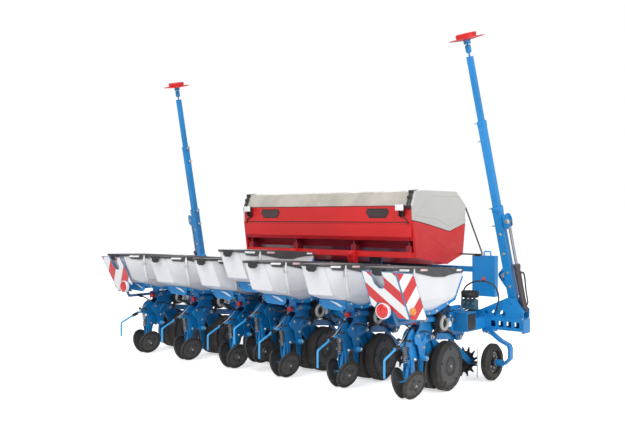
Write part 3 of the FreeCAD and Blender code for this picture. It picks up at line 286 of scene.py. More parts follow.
@dataclass(frozen=True)
class WheelFinish(Finish):
    """A wheel: rubber outside its rim and another colour inside, measured from the wheel's own axle.

    Attributes:
        rim: the rim's radius, in metres.
        face: the colour of the disc inside the rim.
        hub: the radius of the bright hub cap, or 0 for none.
        centre: a point on the axle.
        axle: the axle's direction.
        grooves: rings pressed into the disc, in a metre of radius, each darkened in colour as painted shade.
    """

    rim: float = 0.2
    face: Colour = (0.07, 0.07, 0.07)
    hub: float = 0.0
    centre: Point = (0.0, 0.0, 0.0)
    axle: Point = (1.0, 0.0, 0.0)
    grooves: float = 38.0

    DISC_ROUGHNESS = 0.42
    GROOVE_DEPTH = 0.0022

    def radius(self, graph: Graph) -> Socket:
        """The distance from the axle.

        Args:
            graph: the material's tree.

        Returns:
            The distance, in metres.
        """
        arm = graph.vectors("SUBTRACT", graph.place, self.centre)
        along = graph.vectors("DOT_PRODUCT", arm, self.axle)
        reach = graph.vectors("LENGTH", arm)
        squares = [graph.maths("MULTIPLY", length, length) for length in (reach, along)]
        return graph.maths("SQRT", graph.maths("MAXIMUM", graph.maths("SUBTRACT", *squares), 0.0))

    def build(self) -> bpy.types.Material:
        """Make the material.

        Returns:
            The material.
        """
        graph = Graph(self.name)
        radius = self.radius(graph)
        outside = graph.ramp(radius, self.rim - 0.0015, self.rim + 0.0015)
        colour = graph.blend(outside, self.face, self.tint(graph))
        if self.hub:
            colour = graph.blend(graph.ramp(radius, self.hub + 0.001, self.hub - 0.001), colour, CAP_TONE)
        rings = graph.maths("SINE", graph.maths("MULTIPLY", radius, self.grooves * 2 * math.pi))
        inside = graph.maths("SUBTRACT", 1.0, outside)
        pressed = graph.maths("MULTIPLY", graph.ramp(rings, 0.55, 0.95), inside)
        # The pressed rings are darkened towards the disc's dark tone: painted shade in the grooves, besides
        # their bump.
        colour = graph.blend(graph.maths("MULTIPLY", pressed, 0.45), colour, shade(self.face, 0.45))
        dents = graph.relief(pressed, -self.GROOVE_DEPTH)
        normal = graph.relief(graph.noise(self.grain, 2.0), self.depth, dents)
        roughness = graph.level(outside, self.DISC_ROUGHNESS, self.roughness)
        return graph.surface(self.dusted(graph, colour), roughness, normal)


@dataclass(frozen=True)
class StripeFinish(Finish):
    """Warning film: slanting stripes in two colours on a board, over a film of small cells.

    Attributes:
        second: the other stripes' colour.
        across: direction that the stripes cross.
        pitch: from one stripe to the next of its colour, in metres.
        start: where a coloured stripe begins, in metres.
    """

    second: Colour = (0.8, 0.8, 0.8)
    across: Point = (1.0, 0.0, 1.0)
    pitch: float = 0.2
    start: float = 0.0

    CELLS = 330.0
    CELL_DEPTH = 0.0002

    def build(self) -> bpy.types.Material:
        """Make the material.

        Returns:
            The material.
        """
        graph = Graph(self.name)
        run = graph.maths("SUBTRACT", graph.vectors("DOT_PRODUCT", graph.place, self.across), self.start)
        phase = graph.maths("FRACT", graph.maths("DIVIDE", run, self.pitch))
        colour = graph.blend(graph.between(phase, 0.0, 0.5, 0.012), self.second, self.tint(graph))
        cells = graph.add("ShaderNodeTexVoronoi", {"Vector": graph.place, "Scale": self.CELLS})
        normal = graph.relief(cells.outputs["Distance"], self.CELL_DEPTH)
        return graph.surface(colour, self.roughness, normal, Coat_Weight=0.3, Coat_Roughness=0.15)


@dataclass(frozen=True)
class Zone:
    """A part of a solid that has another colour, as ranges from the solid's own origin.

    Attributes:
        colour: its colour.
        x: its range along X, or None for all of it.
        y: its range along Y.
        z: its range along Z.
        mirrored: whether the X range counts on both sides of the middle.
    """

    colour: Colour
    x: Pair | None = None
    y: Pair | None = None
    z: Pair | None = None
    mirrored: bool = False


@dataclass(frozen=True)
class ZoneFinish(Finish):
    """A solid whose parts differ in colour, though they are one piece.

    Attributes:
        zones: the parts, later ones over earlier ones.
        origin: the point that their ranges start from.
        pitch: distance along X at which they repeat, or 0.
    """

    zones: tuple[Zone, ...] = ()
    origin: Point = (0.0, 0.0, 0.0)
    pitch: float = 0.0

    LACQUER_ROUGHNESS = 0.15

    def tint(self, graph: Graph) -> Socket:
        """The base colour with its drift, and the zones' colours over it.

        Args:
            graph: the material's tree.

        Returns:
            The colour.
        """
        place = [graph.maths("SUBTRACT", value, start)
                 for value, start in zip((graph.x, graph.y, graph.z), self.origin)]
        if self.pitch:
            inputs = {0: place[0], 1: self.pitch / 2, 2: -self.pitch / 2}
            place[0] = graph.add("ShaderNodeMath", inputs, operation="WRAP").outputs[0]
        colour = super().tint(graph)
        drift = graph.ramp(graph.noise(self.patches * 2, 3.0), 0.3, 0.7)
        for zone in self.zones:
            across_x = graph.maths("ABSOLUTE", place[0]) if zone.mirrored else place[0]
            share = None
            for value, limits in zip((across_x, place[1], place[2]), (zone.x, zone.y, zone.z)):
                if limits is not None:
                    inside = graph.between(value, *limits)
                    share = inside if share is None else graph.maths("MULTIPLY", share, inside)
            tone = graph.blend(drift, shade(zone.colour, 0.88), shade(zone.colour, 1.12))
            colour = graph.blend(share, colour, tone)
        return colour


class Paint(Enum):
    """The machine's finishes, by the material slot that each belongs to."""

    BLUE = ("blue_paint", Finish("blue_enamel", BLUE_TONE, 0.38, patches=2.5, mottle=0.1, coat=0.22,
                                 soil=0.3, soil_top=0.35, edge=0.003))
    ROD = ("blue_paint", Finish("pale_blue_enamel", PALE_BLUE_TONE, 0.36, patches=6.0, mottle=0.1,
                                coat=0.3))
    RED = ("red_tank", Finish("red_moulding", TANK_TONE, 0.38, patches=1.6, mottle=0.06,
                              grain=420.0, coat=0.15))
    COVER = ("cover_plastic", Finish("stone_moulding", STONE_TONE, 0.5, patches=1.8, mottle=0.014,
                                     grain=500.0, edge=0.008))
    HOPPER = ("hopper_plastic", Finish("milky_moulding", (0.745, 0.745, 0.765), 0.42, patches=3.0,
                                       mottle=0.035, grain=450.0, coat=0.1, edge=0.016))
    LID = ("lid_plastic", Finish("charcoal_moulding", (0.066, 0.066, 0.07), 0.5, patches=4.0, grain=700.0,
                                 depth=0.0006, edge=0.004))
    METER = ("meter_housing", Finish("grey_moulding", (0.36, 0.35, 0.33), patches=8.0, mottle=0.15))
    DARK = ("black_paint", Finish("black_moulding", (0.022, 0.022, 0.024), 0.46, patches=8.0, mottle=0.2))
    SMOKE = ("black_paint", Finish("smoked_window", (0.05, 0.025, 0.025), 0.18, patches=8.0, mottle=0.2,
                                   coat=0.6))
    HOSE = ("tyre", Finish("hose_rubber", (0.018, 0.018, 0.019), 0.6, patches=20.0, mottle=0.25,
                           grain=900.0, depth=0.0008))
    SHEATH = ("tool_steel", Finish("cable_sheath", (0.52, 0.53, 0.52), 0.5, patches=25.0))
    ZINC = ("tool_steel", Finish("zinc_plate", (0.62, 0.6, 0.55), 0.32, metallic=1.0, patches=30.0,
                                 mottle=0.2))
    STEEL = ("tool_steel", Finish("worn_steel", (0.30, 0.29, 0.28), 0.4, metallic=1.0, patches=14.0,
                                  mottle=0.35, soil=0.7, soil_top=0.4))
    VALVE = ("meter_housing", Finish("valve_enamel", (0.055, 0.13, 0.17), 0.4, patches=12.0, mottle=0.25,
                                     coat=0.2))
    CHROME = ("chrome", Finish("chrome_rod", (0.40, 0.40, 0.42), 0.3, metallic=1.0, patches=12.0,
                               mottle=0.04, depth=0.00005))
    BARREL = ("cylinder_paint", Finish("cylinder_enamel", (0.062, 0.048, 0.05), 0.4, patches=9.0,
                                       mottle=0.18, coat=0.2))
    RUBBER = ("tyre", Finish("tread_rubber", RUBBER_TONE, 0.72, patches=9.0, mottle=0.22, grain=600.0,
                             depth=0.001, soil=0.5))
    WHITE = ("hopper_plastic", Finish("white_film", (0.82, 0.82, 0.83), 0.35, patches=12.0, mottle=0.03))
    BLUSH = ("hopper_plastic", Finish("pale_red_film", (0.72, 0.5, 0.5), 0.35, patches=12.0, mottle=0.05))
    LENS_RED = ("red_paint", Finish("red_lens", (0.62, 0.02, 0.015), 0.16, patches=30.0, mottle=0.25,
                                    grain=90.0, depth=0.002, coat=0.7))
    LENS_AMBER = ("red_paint", Finish("amber_lens", (0.75, 0.24, 0.02), 0.16, patches=30.0, mottle=0.25,
                                      grain=90.0, depth=0.002, coat=0.7))

    @property
    def slot(self) -> str:
        """The record's material slot."""
        return self.value[0]

    def material(self) -> bpy.types.Material:
        """The material itself, made the first time that it is asked for."""
        finish = self.value[1]
        return bpy.data.materials.get(finish.name) or finish.build()


# ---------------------------------------------------------------------- mesh building
def path(points: Sequence[Point]) -> list[Vector]:
    """The points of a line as vectors."""
    return [Vector(point) for point in points]


def upright(x: float, pairs: Sequence[Pair]) -> list[Vector]:
    """Points in a plane square to X, from their (y, z)."""
    return [Vector((x, y, z)) for y, z in pairs]


def sideways(reach: float) -> Vector:
    """A step along X."""
    return Vector((reach, 0, 0))


def spoke(degrees: float, radius: float) -> Vector:
    """The way from a circle's middle to its rim, in the plane square to X."""
    angle = math.radians(degrees)
    return Vector((0, math.cos(angle), math.sin(angle))) * radius


def across(axis: Vector) -> tuple[Vector, Vector]:
    """Two unit directions square to an axis and to each other.

    Args:
        axis: the axis.

    Returns:
        The two directions, right-handed with the axis.
    """
    axis = axis.normalized()
    helper = UP if abs(axis.z) < 0.9 else RIGHT
    first = helper.cross(axis).normalized()
    return first, axis.cross(first)


def smooth_line(points: Sequence[Vector], runs: int = 6) -> list[Vector]:
    """A smooth line through points.

    Args:
        points: what it goes through.
        runs: short runs between two points.

    Returns:
        The line's points.
    """
    ends = [points[0] * 2 - points[1], *points, points[-1] * 2 - points[-2]]
    line = []
    for before, start, end, after in zip(ends, ends[1:], ends[2:], ends[3:]):
        square = 2 * before - 5 * start + 4 * end - after
        cube = 3 * start - before - 3 * end + after
        for t in (step / runs for step in range(runs)):
            line.append(0.5 * (2 * start + (end - before) * t + square * t ** 2 + cube * t ** 3))
    return [*line, points[-1].copy()]


class Fitting:
    """One piece under construction: a mesh with short calls for the shapes that machines are made of."""

    def __init__(self) -> None:
        """Start an empty mesh."""
        self.mesh = bmesh.new()

    def ring_strip(self, rings: Sequence[Sequence[Vector]], closed: bool = False,
                   capped: bool = True) -> None:
        """Join rings of points with faces.

        Args:
            rings: the rings, each with the same number of points.
            closed: whether the last ring joins the first.
            capped: whether the two ends are filled.
        """
        rows = [[self.mesh.verts.new(point) for point in ring] for ring in rings]
        pairs = list(zip(rows, rows[1:]))
        if closed:
            pairs.append((rows[-1], rows[0]))
        for near, far in pairs:
            for corners in zip(near, near[1:] + near[:1], far[1:] + far[:1], far):
                self.mesh.faces.new(corners)
        if capped and not closed:
            self.mesh.faces.new(rows[0][::-1])
            self.mesh.faces.new(rows[-1])

    def slab(self, outline: Sequence[Vector], depth: Vector) -> Fitting:
        """A flat plate from its corners in order, with its thickness as a vector."""
        self.ring_strip([list(outline), [point + depth for point in outline]])
        return self

    def cheek(self, x: float, pairs: Sequence[Pair], thick: float) -> Fitting:
        """A flat plate square to X, from its corners' (y, z)."""
        return self.slab(upright(x, pairs), sideways(thick))

    def block(self, low: Sequence[float], high: Sequence[float]) -> Fitting:
        """A box between two corners, in any order along X.

        Args:
            low: its lowest corner.
            high: its highest corner.

        Returns:
            This fitting.
        """
        (xa, y0, z0), (xb, y1, z1) = low, high
        x0, x1 = sorted((xa, xb))
        return self.slab(path(((x0, y0, z0), (x1, y0, z0), (x1, y1, z0), (x0, y1, z0))), UP * (z1 - z0))

    def lathe(self, centre: Vector, axis: Vector, profile: Sequence[Pair], sides: int = 24,
              hoop: bool = False) -> Fitting:
        """A turned shape.

        Args:
            centre: the origin of its profile.
            axis: the direction it is turned about.
            profile: (radius, distance along the axis) in order.
            sides: facets round it.
            hoop: whether the profile closes on itself, which leaves the middle open.

        Returns:
            This fitting.
        """
        first, second = across(axis)
        axis = axis.normalized()
        angles = [2 * math.pi * side / sides for side in range(sides)]
        spokes = [first * math.cos(angle) + second * math.sin(angle) for angle in angles]
        self.ring_strip([[centre + axis * along + way * max(radius, 1e-5) for way in spokes]
                         for radius, along in profile], closed=hoop)
        return self

    def bolt(self, centre: Vector, axis: Vector, across_flats: float = 0.024) -> Fitting:
        """A hexagon head on its washer.

        Args:
            centre: where it sits.
            axis: the way it points.
            across_flats: the head's width.

        Returns:
            This fitting.
        """
        size = across_flats / 2
        washer = [(size * 1.5, 0.0), (size * 1.5, size * 0.25), (size * 1.4, size * 0.3)]
        head = [(size * 1.1, size * 0.2), (size * 1.12, size * 0.95), (size, size * 1.15)]
        return self.lathe(centre, axis, washer, 16).lathe(centre, axis, head, 6)

    def side_bolt(self, side: int, x: float, y: float, z: float, across_flats: float) -> Fitting:
        """A hexagon head that faces outwards on one side."""
        return self.bolt(Vector((side * x, y, z)), sideways(side), across_flats)

    def tube(self, points: Sequence[Vector], radius: float, sides: int = 8) -> Fitting:
        """A round bar along a line.

        Args:
            points: the line.
            radius: its radius.
            sides: facets round it.

        Returns:
            This fitting.
        """
        side = across(points[1] - points[0])[0]
        rings = []
        last = len(points) - 1
        angles = [2 * math.pi * step / sides for step in range(sides)]
        for index, point in enumerate(points):
            way = (points[min(index + 1, last)] - points[max(index - 1, 0)]).normalized()
            side = (side - way * side.dot(way)).normalized()
            up = way.cross(side)
            rings.append([point + (side * math.cos(angle) + up * math.sin(angle)) * radius
                          for angle in angles])
        self.ring_strip(rings)
        return self

    def hose(self, points: Sequence[Vector], radius: float, sides: int = 8) -> Fitting:
        """A hose or bent bar that runs smoothly through points."""
        return self.tube(smooth_line(points), radius, sides)

    def spring(self, start: Vector, end: Vector, radius: float, wire: float, turns: int) -> Fitting:
        """A coil spring.

        Args:
            start: one end of its axis.
            end: the other end.
            radius: of the coil's middle line.
            wire: the wire's radius.
            turns: how many coils.

        Returns:
            This fitting.
        """
        axis = end - start
        first, second = across(axis)
        steps = turns * 12
        line = []
        for share in (step / steps for step in range(steps + 1)):
            angle = 2 * math.pi * turns * share
            spread = first * math.cos(angle) + second * math.sin(angle)
            line.append(start + axis * share + spread * radius)
        return self.tube(line, wire, 6)

    def done(self, name: str, edge: float = 0.0, soft_angle: float = 40.0) -> bpy.types.Mesh:
        """Close the mesh.

        Args:
            name: the mesh's name.
            edge: width of the small bevel on its sharp edges, in metres.
            soft_angle: the widest angle that is shaded smooth, in degrees.

        Returns:
            The mesh.
        """
        bmesh.ops.recalc_face_normals(self.mesh, faces=self.mesh.faces)
        if edge:
            sharp = [e for e in self.mesh.edges if len(e.link_faces) == 2 and e.calc_face_angle(0.0) > 0.6]
            bmesh.ops.bevel(self.mesh, geom=sharp, offset=edge, segments=2, profile=0.6, affect="EDGES",
                            clamp_overlap=True)
        for face in self.mesh.faces:
            face.smooth = True
        data = bpy.data.meshes.new(name)
        self.mesh.to_mesh(data)
        self.mesh.free()
        data.set_sharp_from_angle(angle=math.radians(soft_angle))
        return data


def place(name: str, mesh: bpy.types.Mesh, paint: Paint, body: str,
          origin: Vector | None = None) -> bpy.types.Object:
    """Put a finished mesh on the machine.

    Args:
        name: the piece's name.
        mesh: its mesh, which keeps a material that it already has.
        paint: its finish.
        body: the body that it rides on.
        origin: where the mesh's own origin goes.

    Returns:
        The new object.
    """
    if not mesh.materials:
        mesh.materials.append(paint.material())
    piece = bpy.data.objects.new(name, mesh)
    bpy.context.scene.collection.objects.link(piece)
    piece.location = origin or Vector((0, 0, 0))
    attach(piece, body)
    return piece


def dress(node: str, finish: Paint | Finish) -> None:
    """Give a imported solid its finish.

    Args:
        node: the solid's name.
        finish: the paint or the finish for all its slots.
    """
    material = finish.material() if isinstance(finish, Paint) else finish.build()
    for holder in frame["nodes"][node].material_slots:
        holder.material = material


# ---------------------------------------------------------------------- where things are
@dataclass(frozen=True)
class Row:
    """One planting unit's place.

    Attributes:
        name: the start of its wheels' names.
        body: the body that its frame rides on.
        lid: its hopper's lid, a node and a body of the same name.
        origin: the point on the ground under the unit's middle, behind its depth wheels.
    """

    name: str
    body: str
    lid: str
    origin: Vector


@dataclass(frozen=True)
class Layout:
    """The machine's lines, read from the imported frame's joints.

    Attributes:
        joints: each joint's record, by name.
        gauge_at: the depth wheels' axle in a unit, as (y, z), in metres.
    """

    joints: dict[str, dict]
    gauge_at: Pair = (0.540, 0.235)

    @staticmethod
    def read() -> Layout:
        """Read the frame."""
        return Layout({joint["name"]: joint for joint in frame["joints"]})

    def pivot(self, joint: str) -> Vector:
        """A joint's place."""
        return Vector(self.joints[joint]["pos_m"])

    def axis(self, joint: str) -> Vector:
        """A joint's axis, one metre long."""
        return Vector(self.joints[joint]["axis"]).normalized()

    def rows(self) -> list[Row]:
        """The seven units: the centre one, then each wing's three from the inside out.

        Returns:
            Their places.
        """
        names = [("centre", "frame", "centre_row_lid")]
        names += [(f"{hand}_row_{n}", f"{hand}_wing", f"{hand}_row_{n}_lid") for hand, _ in HANDS
                  for n in (1, 2, 3)]
        behind = Vector((0, *self.gauge_at))
        return [Row(name, body, lid, self.pivot(f"{name}_gauge_wheels_spin") - behind)
                for name, body, lid in names]

    def groups(self) -> dict[str, Row]:
        """One row for each group of units that share their solids: the centre, and each wing's first."""
        rows = self.rows()
        return {"centre": rows[0], "left": rows[1], "right": rows[4]}

    def origin(self) -> Vector:
        """The machine's own origin on the ground: under the first right unit, moved to the middle."""
        return Vector((0.0, self.groups()["right"].origin.y, 0.0))


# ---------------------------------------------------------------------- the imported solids
@dataclass
class Solids:
    """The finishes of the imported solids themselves.

    Attributes:
        layout: where things are.
        pitch: distance between the rows, in metres.
    """

    layout: Layout
    pitch: float = 0.75

    # In a unit: the pale drag rod at the rear with its dark grip, and the pale ends of the wheel arms' axle.
    FRAME_ZONES = (Zone(PALE_BLUE_TONE, y=(-0.6, -0.03)), Zone(BLACK_TONE, y=(-0.187, -0.118)),
                   Zone(PALE_BLUE_TONE, (0.054, 0.2), (0.17, 0.23), (0.32, 0.38), mirrored=True))
    # The air hose, the red and the dark knob; at the marker's foot the hoses, valve block and red cap.
    METER_ZONES = (Zone(BLACK_TONE, x=(0.09, 0.1285)), Zone(RED_TONE, (-0.03, 0.03), (0.09, 0.131)),
                   Zone(BLACK_TONE, (-0.06, -0.031), (0.09, 0.16)), Zone(BLACK_TONE, y=(1.0, 2.0)),
                   Zone((0.1, 0.16, 0.17), y=(1.25, 1.35), z=(0.6, 0.7915)),
                   Zone(RED_TONE, y=(1.2, 1.26), z=(1.009, 1.04)))
    # The row cleaner's dark star wheels, and the blue arm between them.
    OPENER_ZONES = (Zone(BLACK_TONE, y=(0.72, 2.0)), Zone(BLUE_TONE, (-0.0125, 0.0125), (0.72, 2.0)))
    # In the machine: black painted shadow on the posts' tops under the tank, the trough and darker red
    # painted shade in the bays over it, the cover between its end caps, the step's dark handrail and pale
    # handle, and the fan's dark inlet.
    # The posts' black tops are painted shadow that falls under the tank.
    POST_SHADOW_ZONES = (Zone(BLACK_TONE, (0.595, 0.705), (0.9, 1.3), (1.06, 1.21), mirrored=True),)
    TANK_ZONES = (Zone(BLACK_TONE, z=(1.0, 1.1165)),
                  # The darker red in the bays is painted shade in their recesses.
                  Zone((0.24, 0.012, 0.022), (-1.2, 1.2), (1.09, 1.6), (1.27, 1.385)))
    COVER_ZONES = (Zone((0.43, 0.395, 0.345), (-1.235, 1.235)),)
    STEP_ZONES = (Zone(BLACK_TONE, x=(1.0, 1.555), z=(1.2005, 1.8)),
                  Zone(PALE_BLUE_TONE, x=(1.56, 1.68), z=(1.212, 1.3)))
    FAN_ZONES = (Zone(BLACK_TONE, x=(-0.4, -0.319)),)

    def plain(self) -> None:
        """Finish the solids that are one colour each."""
        for hand, _ in HANDS:
            dress(f"{hand}_wing_beam", Paint.BLUE)
            dress(f"{hand}_marker_arm", Paint.BLUE)
            dress(f"{hand}_marker_barrel", Paint.BARREL)
            dress(f"{hand}_marker_rod", Paint.CHROME)
            dress(f"{hand}_row_hoppers", Paint.HOPPER)
            dress(f"{hand}_warning_panels", Finish(f"{hand}_board_enamel", BOARD_TONE, 0.4, patches=6.0))
        dress("headstock", Paint.BLUE)
        dress("centre_row_hopper", Paint.HOPPER)
        for row in self.layout.rows():
            dress(row.lid, Paint.LID)

    def units(self) -> None:
        """Finish the units' solids whose parts differ in colour."""
        for group, row in self.layout.groups().items():
            pitch, plural = (0.0, "") if group == "centre" else (self.pitch, "s")
            shared = {"origin": tuple(row.origin), "pitch": pitch, "patches": 3.0, "coat": 0.2}
            dress(f"{group}_row_frame{plural}",
                  ZoneFinish(f"{group}_frame_enamel", BLUE_TONE, 0.38, soil=0.35, soil_top=0.35, edge=0.003,
                             zones=self.FRAME_ZONES, **shared))
            dress(f"{group}_row_meter{plural}",
                  ZoneFinish(f"{group}_meter_moulding", GREY_TONE, 0.42, grain=500.0, zones=self.METER_ZONES,
                             **shared))
            dress(f"{group}_row_opener{plural}",
                  ZoneFinish(f"{group}_disc_steel", STEEL_TONE, 0.4, soil=0.6, soil_top=0.35,
                             zones=self.OPENER_ZONES, **shared))

    def machine(self) -> None:
        """Finish the machine's own solids whose parts differ in colour."""
        ground = tuple(self.layout.origin())
        # Its zones paint the shadow under the tank black on the posts' tops.
        dress("main_frame", ZoneFinish("frame_enamel", BLUE_TONE, 0.38, patches=2.5, coat=0.2, edge=0.003,
                                       zones=self.POST_SHADOW_ZONES, origin=ground))
        dress("fertiliser_hopper", ZoneFinish("tank_moulding", TANK_TONE, 0.4, patches=1.6, mottle=0.06,
                                              coat=0.15, edge=0.006, zones=self.TANK_ZONES, origin=ground))
        dress("fertiliser_cover", ZoneFinish("cover_moulding", STONE_TONE, 0.5, patches=1.8, mottle=0.014,
                                             grain=500.0, edge=0.008, zones=self.COVER_ZONES,
                                             origin=ground))
        dress("service_step", ZoneFinish("step_enamel", BLUE_TONE, 0.34, patches=2.5, coat=0.3,
                                         zones=self.STEP_ZONES, origin=ground))
        dress("fan", ZoneFinish("fan_enamel", BLUE_TONE, 0.36, patches=4.0, coat=0.2, zones=self.FAN_ZONES,
                                origin=ground))

    def wheels(self) -> None:
        """Finish every wheel from its own axle."""
        rubber = {"colour": RUBBER_TONE, "roughness": 0.7, "patches": 9.0, "mottle": 0.2, "grain": 500.0,
                  "depth": 0.0012, "soil": 0.45}
        flag = {"colour": (0.6, 0.02, 0.02), "roughness": 0.4, "patches": 6.0, "coat": 0.3}
        disc = (0.066, 0.066, 0.067)
        for row in self.layout.rows():
            self.wheel(f"{row.name}_gauge_wheels", rim=0.198, face=disc, grooves=26.0, **rubber)
            for hand, _ in HANDS:
                self.wheel(f"{row.name}_closing_wheel_{hand}", rim=0.118, face=disc, hub=0.011, grooves=42.0,
                           **rubber)
        for hand, _ in HANDS:
            self.wheel(f"{hand}_support_wheel", rim=0.112, face=(0.03, 0.03, 0.032), hub=0.036, grooves=30.0,
                       **rubber)
            self.wheel(f"{hand}_marker_disc", rim=0.036, face=PALE_BLUE_TONE, grooves=8.0, **flag)

    def wheel(self, node: str, **values: object) -> None:
        """Finish one wheel.

        Args:
            node: its node, which turns on the joint of its own name.
            **values: the finish's values.
        """
        joint = f"{node}_spin"
        dress(node, WheelFinish(f"{node}_finish", centre=tuple(self.layout.pivot(joint)),
                                axle=tuple(self.layout.axis(joint)), **values))

    def build(self) -> None:
        """Finish every solid."""
        for step in (self.plain, self.units, self.machine, self.wheels):
            step()


# ---------------------------------------------------------------------- studio
@dataclass
class Studio:
    """The pale floor, the soft lamps and the camera.

    Attributes:
        camera_at: the camera's place.
        azimuth: its heading round from +Y towards -X, in degrees.
        pitch: its tilt above the horizon, in degrees.
        lens: its focal length, in millimetres.
        floor_half: half the floor's width, in metres.
        floor_low: how far the floor lies under the wheels, in metres.
        floor_glow: how much paler the floor is to the camera.
        lamp_size: each lamp's width, in metres.
        lamps: each lamp's name, place, the point that it faces, and its power in watts.
    """

    camera_at: Point = (5.6744, -6.7895, 1.6464)
    azimuth: float = 39.76
    pitch: float = -0.29
    lens: float = 44.35
    floor_half: float = 60.0
    floor_low: float = 0.003
    floor_glow: float = 0.55
    lamp_size: float = 5.0
    lamps: tuple[tuple[str, Point, Point, float], ...] = (
        ("key_lamp", (1.0, -7.5, 7.5), (0.0, 0.0, 0.9), 620.0),
        ("side_lamp", (8.5, -1.5, 5.5), (0.5, 0.0, 0.9), 385.0),
        ("back_lamp", (-5.0, 7.0, 6.5), (0.0, 0.3, 1.0), 260.0))

    SENSOR_WIDTH = 36.0
    FAR_CLIP = 400.0
    FLOOR_THICK = 0.05

    @staticmethod
    def show(name: str, data: bpy.types.ID) -> bpy.types.Object:
        """Put new data in the scene as an object.

        Args:
            name: the object's name.
            data: its mesh, lamp or camera.

        Returns:
            The new object.
        """
        thing = bpy.data.objects.new(name, data)
        bpy.context.scene.collection.objects.link(thing)
        return thing

    def camera(self) -> None:
        """Make the camera."""
        data = bpy.data.cameras.new("camera")
        data.lens, data.sensor_width, data.clip_end = self.lens, self.SENSOR_WIDTH, self.FAR_CLIP
        camera = self.show("camera", data)
        turn, tilt = math.radians(self.azimuth), math.radians(self.pitch)
        level = math.cos(tilt)
        ahead = Vector((-math.sin(turn) * level, math.cos(turn) * level, math.sin(tilt)))
        camera.location = self.camera_at
        camera.rotation_euler = ahead.to_track_quat("-Z", "Y").to_euler()
        bpy.context.scene.camera = camera

    def floor(self) -> None:
        """Make the floor, which shows the camera a paler face than the object sees."""
        ring = [Vector((x * self.floor_half, y * self.floor_half, -self.floor_low)) for x, y in CORNERS]
        data = Fitting().slab(ring, UP * -self.FLOOR_THICK).done("floor")
        graph = Graph("pale_floor")
        tone = graph.blend(graph.noise(1.2, 3.0), (0.78, 0.78, 0.785), (0.82, 0.82, 0.825))
        matt = graph.add("ShaderNodeBsdfDiffuse", {"Color": tone})
        glow = graph.add("ShaderNodeEmission", {"Color": (1, 1, 1, 1), "Strength": self.floor_glow})
        lit = graph.add("ShaderNodeAddShader", {0: matt.outputs[0], 1: glow.outputs[0]})
        ray = graph.add("ShaderNodeLightPath").outputs["Is Camera Ray"]
        seen = graph.add("ShaderNodeMixShader", {0: ray, 1: matt.outputs[0], 2: lit.outputs[0]})
        graph.add("ShaderNodeOutputMaterial", {"Surface": seen.outputs[0]})
        data.materials.append(graph.material)
        self.show("floor", data)

    def light(self) -> None:
        """Light the scene: pale air that looks white to the camera, and the soft square lamps."""
        world = bpy.data.worlds.new("studio_air")
        bpy.context.scene.world = world
        world.use_nodes = True
        nodes, link = world.node_tree.nodes, world.node_tree.links.new
        nodes.clear()
        ray = nodes.new("ShaderNodeLightPath").outputs["Is Camera Ray"]
        mix, end = nodes.new("ShaderNodeMixShader"), nodes.new("ShaderNodeOutputWorld")
        link(ray, mix.inputs[0])
        for index, colour, strength in ((1, (0.94, 0.97, 1.0, 1.0), 0.62), (2, (1.0, 1.0, 1.0, 1.0), 1.0)):
            air = nodes.new("ShaderNodeBackground")
            air.inputs["Color"].default_value = colour
            air.inputs["Strength"].default_value = strength
            link(air.outputs[0], mix.inputs[index])
        link(mix.outputs[0], end.inputs[0])
        for name, at, aim, power in self.lamps:
            data = bpy.data.lights.new(name, "AREA")
            data.shape, data.size, data.energy = "SQUARE", self.lamp_size, power
            lamp = self.show(name, data)
            lamp.location = at
            lamp.rotation_euler = (Vector(aim) - Vector(at)).to_track_quat("-Z", "Y").to_euler()

    def build(self) -> None:
        """Make the camera, the floor and the lamps."""
        bpy.context.scene.view_settings.view_transform = "Standard"
        for step in (self.camera, self.floor, self.light):
            step()


# ---------------------------------------------------------------------- sub-assemblies
@dataclass
class Assembly:
    """A sub-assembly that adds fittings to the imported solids.

    Attributes:
        layout: where things are.
        pieces: the objects made so far.
    """

    layout: Layout
    pieces: list[bpy.types.Object] = field(default_factory=list)

    def point(self, x: float, y: float, z: float) -> Vector:
        """A point of the machine in the frame's own place."""
        return self.layout.origin() + Vector((x, y, z))

    def points(self, side: int, places: Sequence[Point]) -> list[Vector]:
        """Points of the machine on one side of its middle."""
        return [self.point(side * x, y, z) for x, y, z in places]

    def add(self, name: str, fitting: Fitting, paint: Paint, body: str, finish: Finish | None = None,
            **closing: float) -> None:
        """Close a fitting and put it on a body.

        Args:
            name: the piece's name.
            fitting: its shape.
            paint: its finish.
            body: the body that it rides on.
            finish: another finish in the same slot.
            **closing: how the mesh is closed.
        """
        mesh = fitting.done(name, **closing)
        if finish:
            mesh.materials.append(finish.build())
        self.pieces.append(place(name, mesh, paint, body))

    def on_rows(self, name: str, fitting: Fitting, paint: Paint, part: str = "", **closing: float) -> None:
        """Close a fitting and put it on every unit.

        Args:
            name: the piece's name, after the row's.
            fitting: its shape, in the unit's own place.
            paint: its finish.
            part: "lid", the end of a wheel's name, or empty for the body that carries the unit.
            **closing: how the mesh is closed.
        """
        mesh = fitting.done(name, **closing)
        for row in self.layout.rows():
            rides = row.lid if part == "lid" else f"{row.name}_{part}" if part else row.body
            self.pieces.append(place(f"{row.name}_{name}", mesh, paint, rides, row.origin))

    def steps(self) -> Sequence[Callable[[], None]]:
        """What makes the fittings that both sides share, in order."""
        return ()

    def side_steps(self) -> Sequence[Callable[[str, int], None]]:
        """What makes one side's fittings, from its name and its sign along X."""
        return ()

    def build(self) -> list[bpy.types.Object]:
        """Make every fitting.

        Returns:
            The new pieces.
        """
        for step in self.steps():
            step()
        for hand, side in HANDS:
            for step in self.side_steps():
                step(hand, side)
        return self.pieces


